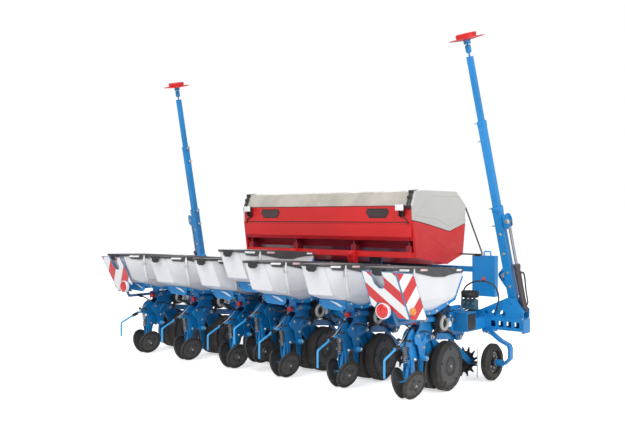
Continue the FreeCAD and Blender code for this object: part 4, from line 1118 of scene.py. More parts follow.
@dataclass
class Unit(Assembly):
    """A planting unit's fittings: its bolts, springs, levers, brackets, cables and meter parts.

    Attributes:
        head_x: outer face of a head plate, from the unit's middle.
        lower_pin: the lower linkage pin at the front, as (y, z).
        upper_pin: the upper one.
        link: how far back and up the rear pins are.
        lower_end: outer end of the lower pins.
        upper_end: outer end of the upper pins.
        meter: the meter's axis, as (y, z).
    """

    head_x: float = 0.074
    lower_pin: Pair = (0.83, 0.475)
    upper_pin: Pair = (0.68, 0.655)
    link: Pair = (-0.51, 0.055)
    lower_end: float = 0.078
    upper_end: float = 0.094
    meter: Pair = (0.43, 0.655)

    HEAD_BOLTS = ((0.672, 0.690), (0.668, 0.628), (0.925, 0.600), (0.915, 0.516), (0.85, 0.742))
    PLATE_BOLTS = ((0.30, 0.69), (0.17, 0.69), (0.12, 0.56), (0.20, 0.45))
    ARM_BOLTS = ((0.04, 0.40, 0.525, 0.03), (0.066, 0.04, 0.36, 0.022), (0.098, 0.20, 0.35, 0.02))
    LEVER = ((0.0, 0.10, 0.575), (0.0, 0.06, 0.63), (-0.012, 0.0, 0.672), (-0.03, -0.05, 0.69))
    GRIP = ((0.010, 0.0), (0.014, 0.006), (0.013, 0.05), (0.015, 0.066), (0.010, 0.074))
    KNOB = ((0.008, 0.0), (0.014, 0.004), (0.014, 0.022), (0.008, 0.027))
    CHEEK = ((0.10, 0.50), (0.10, 0.60), (0.055, 0.635), (0.0, 0.60), (-0.045, 0.52), (-0.05, 0.485),
             (0.0, 0.47))
    STOP = ((0.43, 0.50), (0.47, 0.47), (0.49, 0.42), (0.455, 0.40), (0.425, 0.43))
    EAR = ((-0.012, 0.35), (0.03, 0.36), (0.035, 0.30), (0.0, 0.285))
    CABLES = (((0.108, 0.35, 0.61), (0.10, 0.28, 0.575), (0.075, 0.20, 0.60), (0.045, 0.12, 0.585),
               (0.036, 0.07, 0.53)),
              ((0.10, 0.44, 0.742), (0.11, 0.52, 0.762), (0.10, 0.60, 0.748), (0.088, 0.66, 0.742),
               (0.08, 0.735, 0.742)),
              ((-0.06, 0.36, 0.61), (-0.085, 0.30, 0.58), (-0.10, 0.22, 0.56), (-0.085, 0.15, 0.49),
               (-0.056, 0.10, 0.46)))
    WIRE = ((-0.010, 0.095, 0.665), (-0.020, 0.07, 0.62), (-0.015, -0.01, 0.556), (-0.005, -0.09, 0.515),
            (0.0, -0.135, 0.50))
    DRUM = ((0.05, 0.0), (0.084, 0.004), (0.088, 0.012), (0.088, 0.038), (0.05, 0.0395))
    OUTLET = ((0.07, 0.40, 0.575), (0.068, 0.385, 0.53), (0.055, 0.37, 0.515))
    DISC = ((0.044, 0.0), (0.044, 0.006), (0.038, 0.009), (0.001, 0.010))
    STUB = ((0.026, -0.02), (0.029, 0.004), (0.029, 0.014), (0.022, 0.02), (0.001, 0.022))
    HOSE_CAP = ((0.0175, -0.012), (0.0215, -0.01), (0.0215, 0.016), (0.0175, 0.018))

    def fixings(self) -> None:
        """Bolt heads on the head plates, the linkage pins and the side plates."""
        fitting = Fitting()
        for side in SIDES:
            for y, z in self.HEAD_BOLTS:
                fitting.side_bolt(side, self.head_x, y, z, 0.026)
            for (y, z), end in ((self.lower_pin, self.lower_end), (self.upper_pin, self.upper_end)):
                for back, rise in ((0.0, 0.0), self.link):
                    fitting.side_bolt(side, end, y + back, z + rise, 0.032)
            for y, z in self.PLATE_BOLTS:
                fitting.side_bolt(side, 0.052, y, z, 0.022)
            for x, y, z, width in self.ARM_BOLTS:
                fitting.side_bolt(side, x, y, z, width)
        self.on_rows("fixings", fitting, Paint.ZINC)

    def springs(self) -> None:
        """The down-pressure springs in the linkage and the closing wheels' spring."""
        fitting = Fitting()
        for side in SIDES:
            start, end = Vector((side * 0.057, 0.755, 0.505)), Vector((side * 0.057, 0.45, 0.66))
            fitting.spring(start, end, 0.013, 0.0032, 16)
            past = (end - start) * 0.06
            fitting.tube([start - past, end + past], 0.004)
        top, low = Vector((0.0, -0.03, 0.50)), Vector((0.0, -0.005, 0.325))
        fitting.spring(top, low, 0.021, 0.004, 10)
        fitting.tube([top + Vector((0, -0.004, 0.03)), low], 0.007)
        self.on_rows("springs", fitting, Paint.STEEL, soft_angle=60.0)

    def levers(self) -> None:
        """The depth lever with its quadrant, and the closing wheels' handle with its two knobs."""
        fitting = Fitting().hose(path(self.LEVER), 0.0075)
        fitting.lathe(Vector((-0.022, -0.028, 0.682)), Vector((-0.3, -0.88, 0.36)), self.GRIP, 14)
        middle = Vector((0.014, 0.11, 0.56))
        rim = [spoke(degrees, 0.085) for degrees in range(60, 176, 8)]
        fitting.slab([middle + way for way in rim] + [middle + way * 0.72 for way in rim[::-1]],
                     sideways(0.006))
        fitting.tube(path(((-0.05, -0.032, 0.535), (0.05, -0.032, 0.535))), 0.007)
        for side in SIDES:
            fitting.lathe(Vector((side * 0.048, -0.032, 0.535)), sideways(side), self.KNOB, 12)
        fitting.block((-0.022, -0.058, 0.495), (0.022, -0.004, 0.512))
        self.on_rows("levers", fitting, Paint.DARK)

    def straps(self) -> None:
        """Blue brackets: the quadrant's cheeks, the stirrups, the wheel arms' stops and the spring's ears."""
        fitting = Fitting()
        for side in SIDES:
            fitting.cheek(side * 0.022, self.CHEEK, side * 0.006)
            turns = [math.radians(degrees) for degrees in range(0, 181, 18)]
            fitting.tube([Vector((side * (0.054 + 0.03 * math.sin(turn)), 0.245 - 0.055 * math.cos(turn),
                                  0.505 + 0.075 * math.sin(turn))) for turn in turns], 0.008)
            fitting.cheek(side * 0.041, self.STOP, side * 0.003)
            fitting.cheek(side * 0.018, self.EAR, side * 0.012)
        self.on_rows("straps", fitting, Paint.BLUE, edge=0.0012)

    def cables(self) -> None:
        """The cables that run back and ahead from the meter, and the sheathed wire to the rear."""
        fitting = Fitting()
        for route in self.CABLES:
            fitting.hose(path(route), 0.0065)
        self.on_rows("cables", fitting, Paint.HOSE, soft_angle=60.0)
        self.on_rows("wires", Fitting().hose(path(self.WIRE), 0.0055), Paint.SHEATH, soft_angle=60.0)

    def meter_parts(self) -> None:
        """The meter's dark drum with its ribs and outlet, its white disc and stub, and the hose's end cap."""
        y, z = self.meter
        centre = Vector((0.054, y, z))
        fitting = Fitting().lathe(centre, RIGHT, self.DRUM, 32)
        for degrees in range(0, 360, 30):
            at = centre + sideways(0.02) + spoke(degrees, 0.09)
            fitting.lathe(at, RIGHT, [(0.008, -0.01), (0.008, 0.018)], 8)
        fitting.block((0.056, 0.365, 0.735), (0.09, 0.425, 0.792)).hose(path(self.OUTLET), 0.018, 12)
        self.on_rows("meter_body", fitting, Paint.DARK)
        disc = Fitting().lathe(Vector((0.112, y, z)), RIGHT, self.DISC, 28)
        disc.lathe(Vector((0.122, y + 0.118, z - 0.022)), RIGHT, self.STUB, 20)
        self.on_rows("meter_disc", disc, Paint.WHITE)
        end = Vector((0.144, y + 0.0545, z + 0.0198))
        self.on_rows("meter_cap", Fitting().lathe(end, Vector((0, -0.34, 0.94)), self.HOSE_CAP, 20),
                     Paint.METER)

    def steps(self) -> Sequence[Callable[[], None]]:
        """What makes the fittings."""
        return self.fixings, self.springs, self.levers, self.straps, self.cables, self.meter_parts


@dataclass
class SeedHopper(Assembly):
    """A seed hopper's fittings: ridges, lid strips, latch, plates and what shows of its cradle.

    Attributes:
        half: outer half width of the lid.
        nose: outer half width of the lid at its rear.
        ridge_y: where its side turns in towards the rear.
        rear_y: the lid's rear face.
        rear_z: the lid's lower surface at the rear face.
        fall: how much lower it gets in a metre forward.
        cradle_x: outer face of the cradle's flanges.
        apron_y: rear face of the cradle.
    """

    half: float = 0.185
    nose: float = 0.145
    ridge_y: float = -0.17
    rear_y: float = -0.44
    rear_z: float = 1.2062
    fall: float = 0.0524
    cradle_x: float = 0.163
    apron_y: float = -0.1265

    RIDGE = ((0.175, -0.1550, 1.143, 0.0095), (0.175, -0.0962, 0.900, 0.0080),
             (0.158, -0.0845, 0.853, 0.0070))
    FLANGE_BOLTS = ((-0.04, 0.823), (0.12, 0.778), (0.26, 0.786), (0.45, 0.838), (0.60, 0.915))
    STRAP = ((0.562, 0.876), (0.712, 1.086), (0.742, 1.074), (0.590, 0.856))
    APRON = ((-0.160, 0.858), (-0.160, 0.812), (-0.100, 0.768), (0.120, 0.760), (0.160, 0.790),
             (0.160, 0.858))
    BLANK = ((-0.030, 0.850), (-0.012, 0.836), (0.096, 0.799), (0.132, 0.797), (0.110, 0.812),
             (0.060, 0.836))
    SIDE_STRIPS = (("side", -0.06, 0.06, Paint.BLUSH), ("front", 0.585, 0.68, Paint.WHITE))
    LATCH = ((0.058, -0.0235, -0.052, -0.0135, -0.010), (0.072, -0.0245, -0.014, -0.0125, 0.004),
             (0.040, -0.0220, -0.064, -0.0150, -0.050), (0.044, -0.0260, -0.044, -0.0225, -0.038))

    def top(self, y: float) -> float:
        """Height of the lid's lower surface at a distance ahead."""
        return self.rear_z - self.fall * (y - self.rear_y)

    def ridges(self) -> None:
        """The pale upright ridge at each side, where the side turns in."""
        fitting = Fitting()
        head = ((-0.190, 1.090), (-0.128, 1.090), (-0.146, 1.145), (-0.156, self.top(-0.156) + 0.004),
                (-0.168, self.top(-0.168) + 0.004), (-0.180, 1.145))
        for side in SIDES:
            fitting.cheek(side * (self.half + 0.0006), head, side * 0.004)
            fitting.ring_strip([[Vector((side * (x + out), y + ahead, z)) for out, ahead in
                                 ((-0.006, -0.030), (rise, -0.002), (rise, 0.004), (-0.002, 0.007))]
                                for x, y, z, rise in self.RIDGE])
        self.on_rows("ridges", fitting, Paint.HOPPER, edge=0.001)

    def strip(self, name: str, paint: Paint, ends: Sequence[Vector], out: Vector) -> None:
        """Put a slanted-ended strip on every lid's skirt.

        Args:
            name: its name.
            paint: its finish.
            ends: the middles of its ends.
            out: the way its face looks.
        """
        start, end = ends
        half = 0.0095
        up = UP * half
        lean = (end - start).normalized() * half * 0.9
        base = [start - up + lean * 0.2, end - up - lean, end + lean * 0.2, end + up - lean * 0.2,
                start + up + lean, start - lean * 0.2]
        strip = Fitting().slab([point + out * 0.0004 for point in base], out * 0.0018)
        self.on_rows(name, strip, paint, "lid", edge=0.0005)

    def strips(self) -> None:
        """The light strips: one on each slanted side at the rear, two along each side."""
        for hand, side in HANDS:
            slope = Vector((side * (self.half - self.nose), self.ridge_y - self.rear_y, 0)).normalized()
            ends = [Vector((side * self.nose, self.rear_y, 0)) + slope * share for share in (0.085, 0.215)]
            for end in ends:
                end.z = self.top(end.y) - 0.012
            self.strip(f"{hand}_rear_strip", Paint.WHITE, ends, Vector((side * slope.y, -slope.x, 0)))
            for name, y0, y1, paint in self.SIDE_STRIPS:
                ends = [Vector((side * self.half, y, self.top(y) - 0.008)) for y in (y0, y1)]
                self.strip(f"{hand}_{name}_strip", paint, ends, sideways(side))

    def latch(self) -> None:
        """The rear latch, its lever and the catch below it, and the hinge straps at the front."""
        fitting = Fitting()
        y, z = self.rear_y + 0.0125, self.rear_z
        for half, behind, low, front, high in self.LATCH:
            fitting.block((-half, y + behind, z + low), (half, y + front, z + high))
        strap = self.top(0.62)
        for side in SIDES:
            fitting.block((side * 0.09 - 0.014, 0.62, strap + 0.0087),
                          (side * 0.09 + 0.014, 0.71, strap + 0.0105))
        self.on_rows("latch", fitting, Paint.DARK, "lid", edge=0.0006)

    def cradle_bolts(self) -> None:
        """Bolts along the cradle's flanges."""
        fitting = Fitting()
        for side in SIDES:
            for y, z in self.FLANGE_BOLTS:
                fitting.side_bolt(side, self.cradle_x, y, z, 0.018)
        self.on_rows("cradle_bolts", fitting, Paint.ZINC)

    def plate(self) -> None:
        """The blank plate under the latch."""
        outline = [Vector((x * 0.040, -0.4285 + (1.205 - z) * 0.448, z))
                   for x, z in ((-1, 1.128), (1, 1.128), (1, 1.062), (-1, 1.062))]
        fitting = Fitting().slab(outline, Vector((0, -0.0012, -0.0005)))
        self.on_rows("plate", fitting, Paint.WHITE, edge=0.0004)

    def cheeks(self) -> None:
        """The cradle's broad straps up the hopper's front corners."""
        fitting = Fitting()
        for side in SIDES:
            fitting.cheek(side * self.cradle_x, self.STRAP, side * 0.006)
        self.on_rows("cheeks", fitting, Paint.BLUE)

    def behind(self, pairs: Sequence[Pair], back: float) -> list[Vector]:
        """Points a little behind the cradle, from their (x, z)."""
        return [Vector((x, self.apron_y - back, z)) for x, z in pairs]

    def apron(self) -> None:
        """The cradle's rear apron, with the framed blank plate on it."""
        apron, rim = Fitting().slab(self.behind(self.APRON, 0.0), BACK * 0.004), Fitting()
        for x in (-0.146, 0.146):
            apron.bolt(Vector((x, self.apron_y - 0.004, 0.815)), BACK, 0.018)
        middle_x, middle_z = (sum(values) / len(self.BLANK) for values in zip(*self.BLANK))
        grown = [(middle_x + (x - middle_x) * 1.12, middle_z + (z - middle_z) * 1.25) for x, z in self.BLANK]
        rings = ((grown, 0.003), (grown, 0.008), (self.BLANK, 0.008), (self.BLANK, 0.003))
        rim.ring_strip([self.behind(ring, back) for ring, back in rings], closed=True)
        blank = Fitting().slab(self.behind(self.BLANK, 0.0035), BACK * 0.0015)
        self.on_rows("apron", apron, Paint.BLUE)
        self.on_rows("apron_rim", rim, Paint.ROD)
        self.on_rows("apron_blank", blank, Paint.WHITE)

    def steps(self) -> Sequence[Callable[[], None]]:
        """What makes the fittings."""
        return self.ridges, self.strips, self.latch, self.cradle_bolts, self.plate, self.cheeks, self.apron


@dataclass
class Wheels(Assembly):
    """What turns with the wheels: bolts, caps, pressed rings, tread ribs and hub nuts.

    Attributes:
        gauge_face: a depth wheel's outer face, from the row's middle.
        gauge_middle: the middle of its tread, from the row's middle.
        gauge_bolts: radius of its bolt circle.
        closing_bolts: radius of a closing wheel's bolt circle.
        support_bolts: radius of a support wheel's bolt circle.
    """

    gauge_face: float = 0.149
    gauge_middle: float = 0.100
    gauge_bolts: float = 0.166
    closing_bolts: float = 0.062
    support_bolts: float = 0.062

    RIM_RING = ((0.192, -0.0015), (0.192, 0.0015), (0.186, 0.0035), (0.182, 0.0035), (0.180, 0.0),
                (0.180, -0.0015))
    HUB_RING = ((0.096, -0.001), (0.096, 0.001), (0.09, 0.0028), (0.062, 0.0028), (0.058, 0.001),
                (0.058, -0.001))
    GAUGE_CAP = ((0.012, -0.002), (0.012, 0.003), (0.008, 0.006), (0.003, 0.0065))
    TREAD_RIB = ((0.2342, -0.0035), (0.23495, -0.002), (0.23495, 0.002), (0.2342, 0.0035))
    SHOULDER_RIB = ((0.2088, -0.0022), (0.2113, -0.001), (0.2113, 0.001), (0.2088, 0.0022))
    CLOSING_RING = ((0.121, -0.003), (0.119, 0.0025), (0.112, 0.0035), (0.107, 0.001), (0.107, -0.003))
    SUPPORT_RIB = ((0.1842, -0.0032), (0.18495, -0.002), (0.18495, 0.002), (0.1842, 0.0032))
    WALL_RIB = ((0.151, -0.002), (0.1535, 0.0), (0.151, 0.002))
    SUPPORT_DISC = ((0.108, 0.0), (0.104, 0.007), (0.088, 0.008), (0.085, 0.001))

    def gauge(self) -> None:
        """The depth wheels' bolts, caps and tread ribs."""
        bolts, caps, ribs = Fitting(), Fitting(), Fitting()
        y, z = self.layout.gauge_at
        for side in SIDES:
            out = sideways(side)
            face = Vector((side * self.gauge_face, y, z))
            for step in range(5):
                bolts.bolt(face + spoke(72 * step + 20, self.gauge_bolts), out, 0.016)
            bolts.lathe(face, out, self.RIM_RING, 64, True).lathe(face, out, self.HUB_RING, 48, True)
            caps.lathe(face + out * 0.004, out, self.GAUGE_CAP, 16)
            middle = Vector((side * self.gauge_middle, y, z))
            for along in (-0.030, -0.010, 0.010, 0.030):
                ribs.lathe(middle + out * along, out, self.TREAD_RIB, 72, True)
            for along in (-0.0535, 0.0535):
                ribs.lathe(middle + out * along, out, self.SHOULDER_RIB, 72, True)
        self.on_rows("gauge_bolts", bolts, Paint.DARK, "gauge_wheels")
        self.on_rows("gauge_caps", caps, Paint.ZINC, "gauge_wheels")
        self.on_rows("gauge_ribs", ribs, Paint.RUBBER, "gauge_wheels")

    def closing(self) -> None:
        """The closing wheels' hub nuts, pressed rings and disc bolts."""
        for hand, side in HANDS:
            joint = f"right_row_1_closing_wheel_{hand}_spin"
            axis = self.layout.axis(joint)
            out = axis if axis.x * side > 0 else -axis
            hub = self.layout.pivot(joint) - self.layout.groups()["right"].origin
            rings = Fitting()
            first, second = across(out)
            for step in range(4):
                angle = math.radians(90 * step + 30)
                spread = (first * math.cos(angle) + second * math.sin(angle)) * self.closing_bolts
                rings.bolt(hub + out * 0.0075 + spread, out, 0.012)
            rings.lathe(hub + out * 0.009, out, self.CLOSING_RING, 48, True)
            nut = Fitting().bolt(hub + out * 0.024, out, 0.015)
            self.on_rows(f"closing_nut_{hand}", nut, Paint.ZINC, f"closing_wheel_{hand}")
            self.on_rows(f"closing_rings_{hand}", rings, Paint.DARK, f"closing_wheel_{hand}")

    def support(self, hand: str, side: int) -> None:
        """A front support wheel's tread ribs and hub bolts.

        Args:
            hand: its side's name.
            side: its side's sign along X.
        """
        axle = self.layout.pivot(f"{hand}_support_wheel_spin")
        out = sideways(side)
        ribs, hub = Fitting(), Fitting()
        for along in (-0.014, 0.0, 0.014):
            ribs.lathe(axle + out * along, out, self.SUPPORT_RIB, 64, True)
        for face in SIDES:
            ribs.lathe(axle + out * (0.045 * face), out, self.WALL_RIB, 64, True)
            hub.lathe(axle + out * (0.006 * face), out * face, self.SUPPORT_DISC, 40, True)
            for step in range(5):
                at = axle + out * (0.0065 * face) + spoke(72 * step, self.support_bolts)
                hub.bolt(at, out * face, 0.018)
        self.add(f"{hand}_support_ribs", ribs, Paint.RUBBER, f"{hand}_support_wheel")
        self.add(f"{hand}_support_hub", hub, Paint.ZINC, f"{hand}_support_wheel")

    def steps(self) -> Sequence[Callable[[], None]]:
        """What makes the row units' wheels' fittings."""
        return self.gauge, self.closing

    def side_steps(self) -> Sequence[Callable[[str, int], None]]:
        """What makes one support wheel's fittings."""
        return (self.support,)


@dataclass
class Tank(Assembly):
    """The fertiliser hopper's windows, seams, work lamps, straps, end lines, brackets and metering units.

    Attributes:
        rear: the rear face above the ledge, in the machine's own Y.
        end: outer face of an end wall.
        window: half width and half height of a window.
        window_at: a window's middle, as (x, z).
        seam_z: height of the seam under the windows.
        meter_pitch: distance between the metering units.
    """

    rear: float = 1.08
    end: float = 1.266
    window: Pair = (0.155, 0.052)
    window_at: Pair = (0.802, 1.69)
    seam_z: float = 1.590
    meter_pitch: float = 0.3

    HEXAGON = ((-1, 0.2), (-0.72, -1), (0.72, -1), (1, 0.2), (0.84, 1), (-0.84, 1))
    BRACKET_ARMS = (((1.11, 1.03, 1.722), (1.11, 1.03, 1.66), (1.11, 1.079, 1.64), (1.11, 1.079, 1.70)),
                    ((1.155, 1.03, 1.722), (1.155, 1.03, 1.67), (1.155, 1.079, 1.65), (1.155, 1.079, 1.70)))
    LAMP_LEAD = ((1.11, 1.045, 1.722), (1.12, 1.055, 1.68), (1.15, 1.062, 1.645), (1.19, 1.068, 1.615),
                 (1.2, 1.07, 1.57))
    STRAP = ((1.063, 1.742), (1.063, 1.755), (1.066, 1.79), (1.092, 1.85), (1.1275, 1.926), (1.18, 1.937),
             (1.24, 1.9425))
    BUCKLES = ((1.061, 1.752), (1.088, 1.860), (1.118, 1.922))
    CAP_LINES = ((((1.14, 1.70), (1.30, 1.82), (1.487, 1.888), (2.03, 1.888), (2.15, 1.80)), 0.009),
                 (((1.105, 1.668), (1.50, 1.640), (1.835, 1.552), (2.17, 1.655)), 0.008))
    WALL_LINES = ((((1.29, 1.515), (1.79, 1.285), (1.95, 1.345)), 0.010),
                  (((1.20, 1.50), (1.26, 1.30), (1.62, 1.16)), 0.009))
    BRACKET = ((1.072, 1.268), (1.072, 1.196), (1.094, 1.150), (1.112, 1.128), (1.150, 1.128),
               (1.150, 1.196), (1.112, 1.268))

    def hexagon(self, side: int, grow: float, back: float) -> list[Vector]:
        """A window's six corners.

        Args:
            side: the window's side.
            grow: how far outside its edge.
            back: how far behind the wall.

        Returns:
            Six points.
        """
        half, tall = (size + grow for size in self.window)
        middle, height = side * self.window_at[0], self.window_at[1]
        return [self.point(middle + x * half, self.rear - back, height + z * tall) for x, z in self.HEXAGON]

    def windows(self) -> None:
        """The two smoked hexagonal windows and their frames."""
        glass, frames = Fitting(), Fitting()
        for side in SIDES:
            glass.slab(self.hexagon(side, -0.012, 0.0005), BACK * 0.002)
            frames.ring_strip([self.hexagon(side, grow, back) for grow, back in
                               ((0.0, 0.0), (0.0, 0.004), (-0.010, 0.004), (-0.013, 0.0))], capped=False)
        self.add("tank_windows", glass, Paint.SMOKE, "frame")
        self.add("tank_window_frames", frames, Paint.DARK, "frame")

    def seams(self) -> None:
        """The dark seam under the windows and the raised lips along the rear wall."""
        seam, lips = Fitting(), Fitting()
        y, z = self.rear, self.seam_z
        for half, low, high in ((1.215, z - 0.004, z + 0.004), (1.22, 1.7655, 1.7685)):
            seam.block(self.point(-half, y - 0.0012, low), self.point(half, y + 0.001, high))
        for low in (z + 0.006, z - 0.016):
            lips.block(self.point(-1.218, y - 0.005, low), self.point(1.218, y + 0.001, low + 0.010))
        for side in SIDES:
            corners = ((1.222, 1.535), (1.222, 1.762), (1.238, 1.762), (1.238, 1.535))
            lips.slab([self.point(side * x, y - 0.004, z) for x, z in corners], BACK * -0.006)
        self.add("tank_seam", seam, Paint.DARK, "frame")
        self.add("tank_lips", lips, Paint.RED, "frame", edge=0.001)

    def lamps(self) -> None:
        """The two white work lamps on their black brackets, with their leads."""
        lens, body = Fitting(), Fitting()
        for side in SIDES:
            x0, x1 = sorted((side * 1.085, side * 1.185))
            body.block(self.point(x0 + 0.004, 1.012, 1.720), self.point(x1 - 0.004, 1.050, 1.776))
            for arm in self.BRACKET_ARMS:
                body.slab(self.points(side, arm), sideways(side * 0.006))
            body.hose(self.points(side, self.LAMP_LEAD), 0.006)
            lens.block(self.point(x0, 1.002, 1.716), self.point(x1, 1.014, 1.780))
        self.add("work_lamp_bodies", body, Paint.DARK, "frame", edge=0.002)
        self.add("work_lamp_lenses", lens, Paint.WHITE, "frame", edge=0.003)

    def straps(self) -> None:
        """The black straps that hold the cover's ends, with their buckles."""
        fitting = Fitting()
        for side in SIDES:
            for inner, outer in ((1.190, 1.208), (1.222, 1.238)):
                strip = [self.point(side * inner, y, z) for y, z in self.STRAP]
                lifted = [point + Vector((0, -0.004, 0.0035)) for point in strip]
                fitting.slab(strip + lifted[::-1], sideways(side * (outer - inner)))
            for y, z in self.BUCKLES:
                fitting.block(self.point(side * 1.186, y - 0.010, z - 0.014),
                              self.point(side * 1.242, y + 0.004, z + 0.014))
        self.add("cover_straps", fitting, Paint.DARK, "fertiliser_cover", edge=0.0012)

    def ridge(self, fitting: Fitting, side: int, places: Sequence[Pair], width: float) -> None:
        """A low ridge along a line on one end.

        Args:
            fitting: what it is added to.
            side: which end.
            places: (y, z) in order.
            width: its radius.
        """
        out = sideways(side)
        line = [self.point(side * self.end, y, z) - out * width * 0.55 for y, z in places]
        for start, finish in zip(line, line[1:]):
            fitting.tube([start, finish], width)
        for point in line:
            fitting.lathe(point, out, [(width, -0.001), (width, 0.0), (width * 0.8, width * 0.6)], 12)

    def caps(self) -> None:
        """The raised lines of the cover's end caps, and those on the red ends."""
        stone, red = Fitting(), Fitting()
        for side in SIDES:
            for fitting, lines in ((stone, self.CAP_LINES), (red, self.WALL_LINES)):
                for places, width in lines:
                    self.ridge(fitting, side, places, width)
        self.add("cover_cap_lines", stone, Paint.COVER, "fertiliser_cover")
        self.add("tank_end_lines", red, Paint.RED, "frame")

    def brackets(self) -> None:
        """The red brackets that hold the tank's rail down to its saddles."""
        red = Fitting()
        for side in SIDES:
            x = side * 0.436
            red.slab([self.point(x - 0.052, y, z) for y, z in self.BRACKET], sideways(0.104))
            red.block(self.point(x - 0.034, 1.060, 1.205), self.point(x + 0.034, 1.074, 1.262))
            red.bolt(self.point(x, 1.060, 1.234), BACK, 0.030)
        self.add("tank_brackets", red, Paint.RED, "frame", edge=0.003)

    def metering(self) -> None:
        """The metering units under the trough, and the shaft that drives them."""
        units = Fitting()
        for step in range(-3, 4):
            x = self.meter_pitch * step
            units.block(self.point(x - 0.05, 1.645, 0.985), self.point(x + 0.05, 1.735, 1.0395))
            units.lathe(self.point(x, 1.69, 0.985), -UP, [(0.026, 0.0), (0.026, 0.03), (0.022, 0.04)], 16)
            units.bolt(self.point(x, 1.645, 1.01), BACK, 0.02)
        shaft = Fitting().tube([self.point(x, 1.69, 1.012) for x in (-1.02, 1.02)], 0.012, 12)
        self.add("metering_units", units, Paint.DARK, "frame", edge=0.002)
        self.add("metering_shaft", shaft, Paint.STEEL, "frame")

    def steps(self) -> Sequence[Callable[[], None]]:
        """What makes the fittings."""
        return self.windows, self.seams, self.lamps, self.straps, self.caps, self.brackets, self.metering


@dataclass(frozen=True)
class Pole:
    """A leaning bar's own directions: along it, outwards from it, and across both.

    Attributes:
        foot: the point that its distances start from.
        along: the unit direction up the bar.
        out: the unit direction away from the machine.
        over: the unit direction square to both.
    """

    foot: Vector
    along: Vector
    out: Vector
    over: Vector

    def at(self, along: float, out: float = 0.0, over: float = 0.0) -> Vector:
        """A point by its distances along, outwards and across."""
        return self.foot + self.along * along + self.out * out + self.over * over


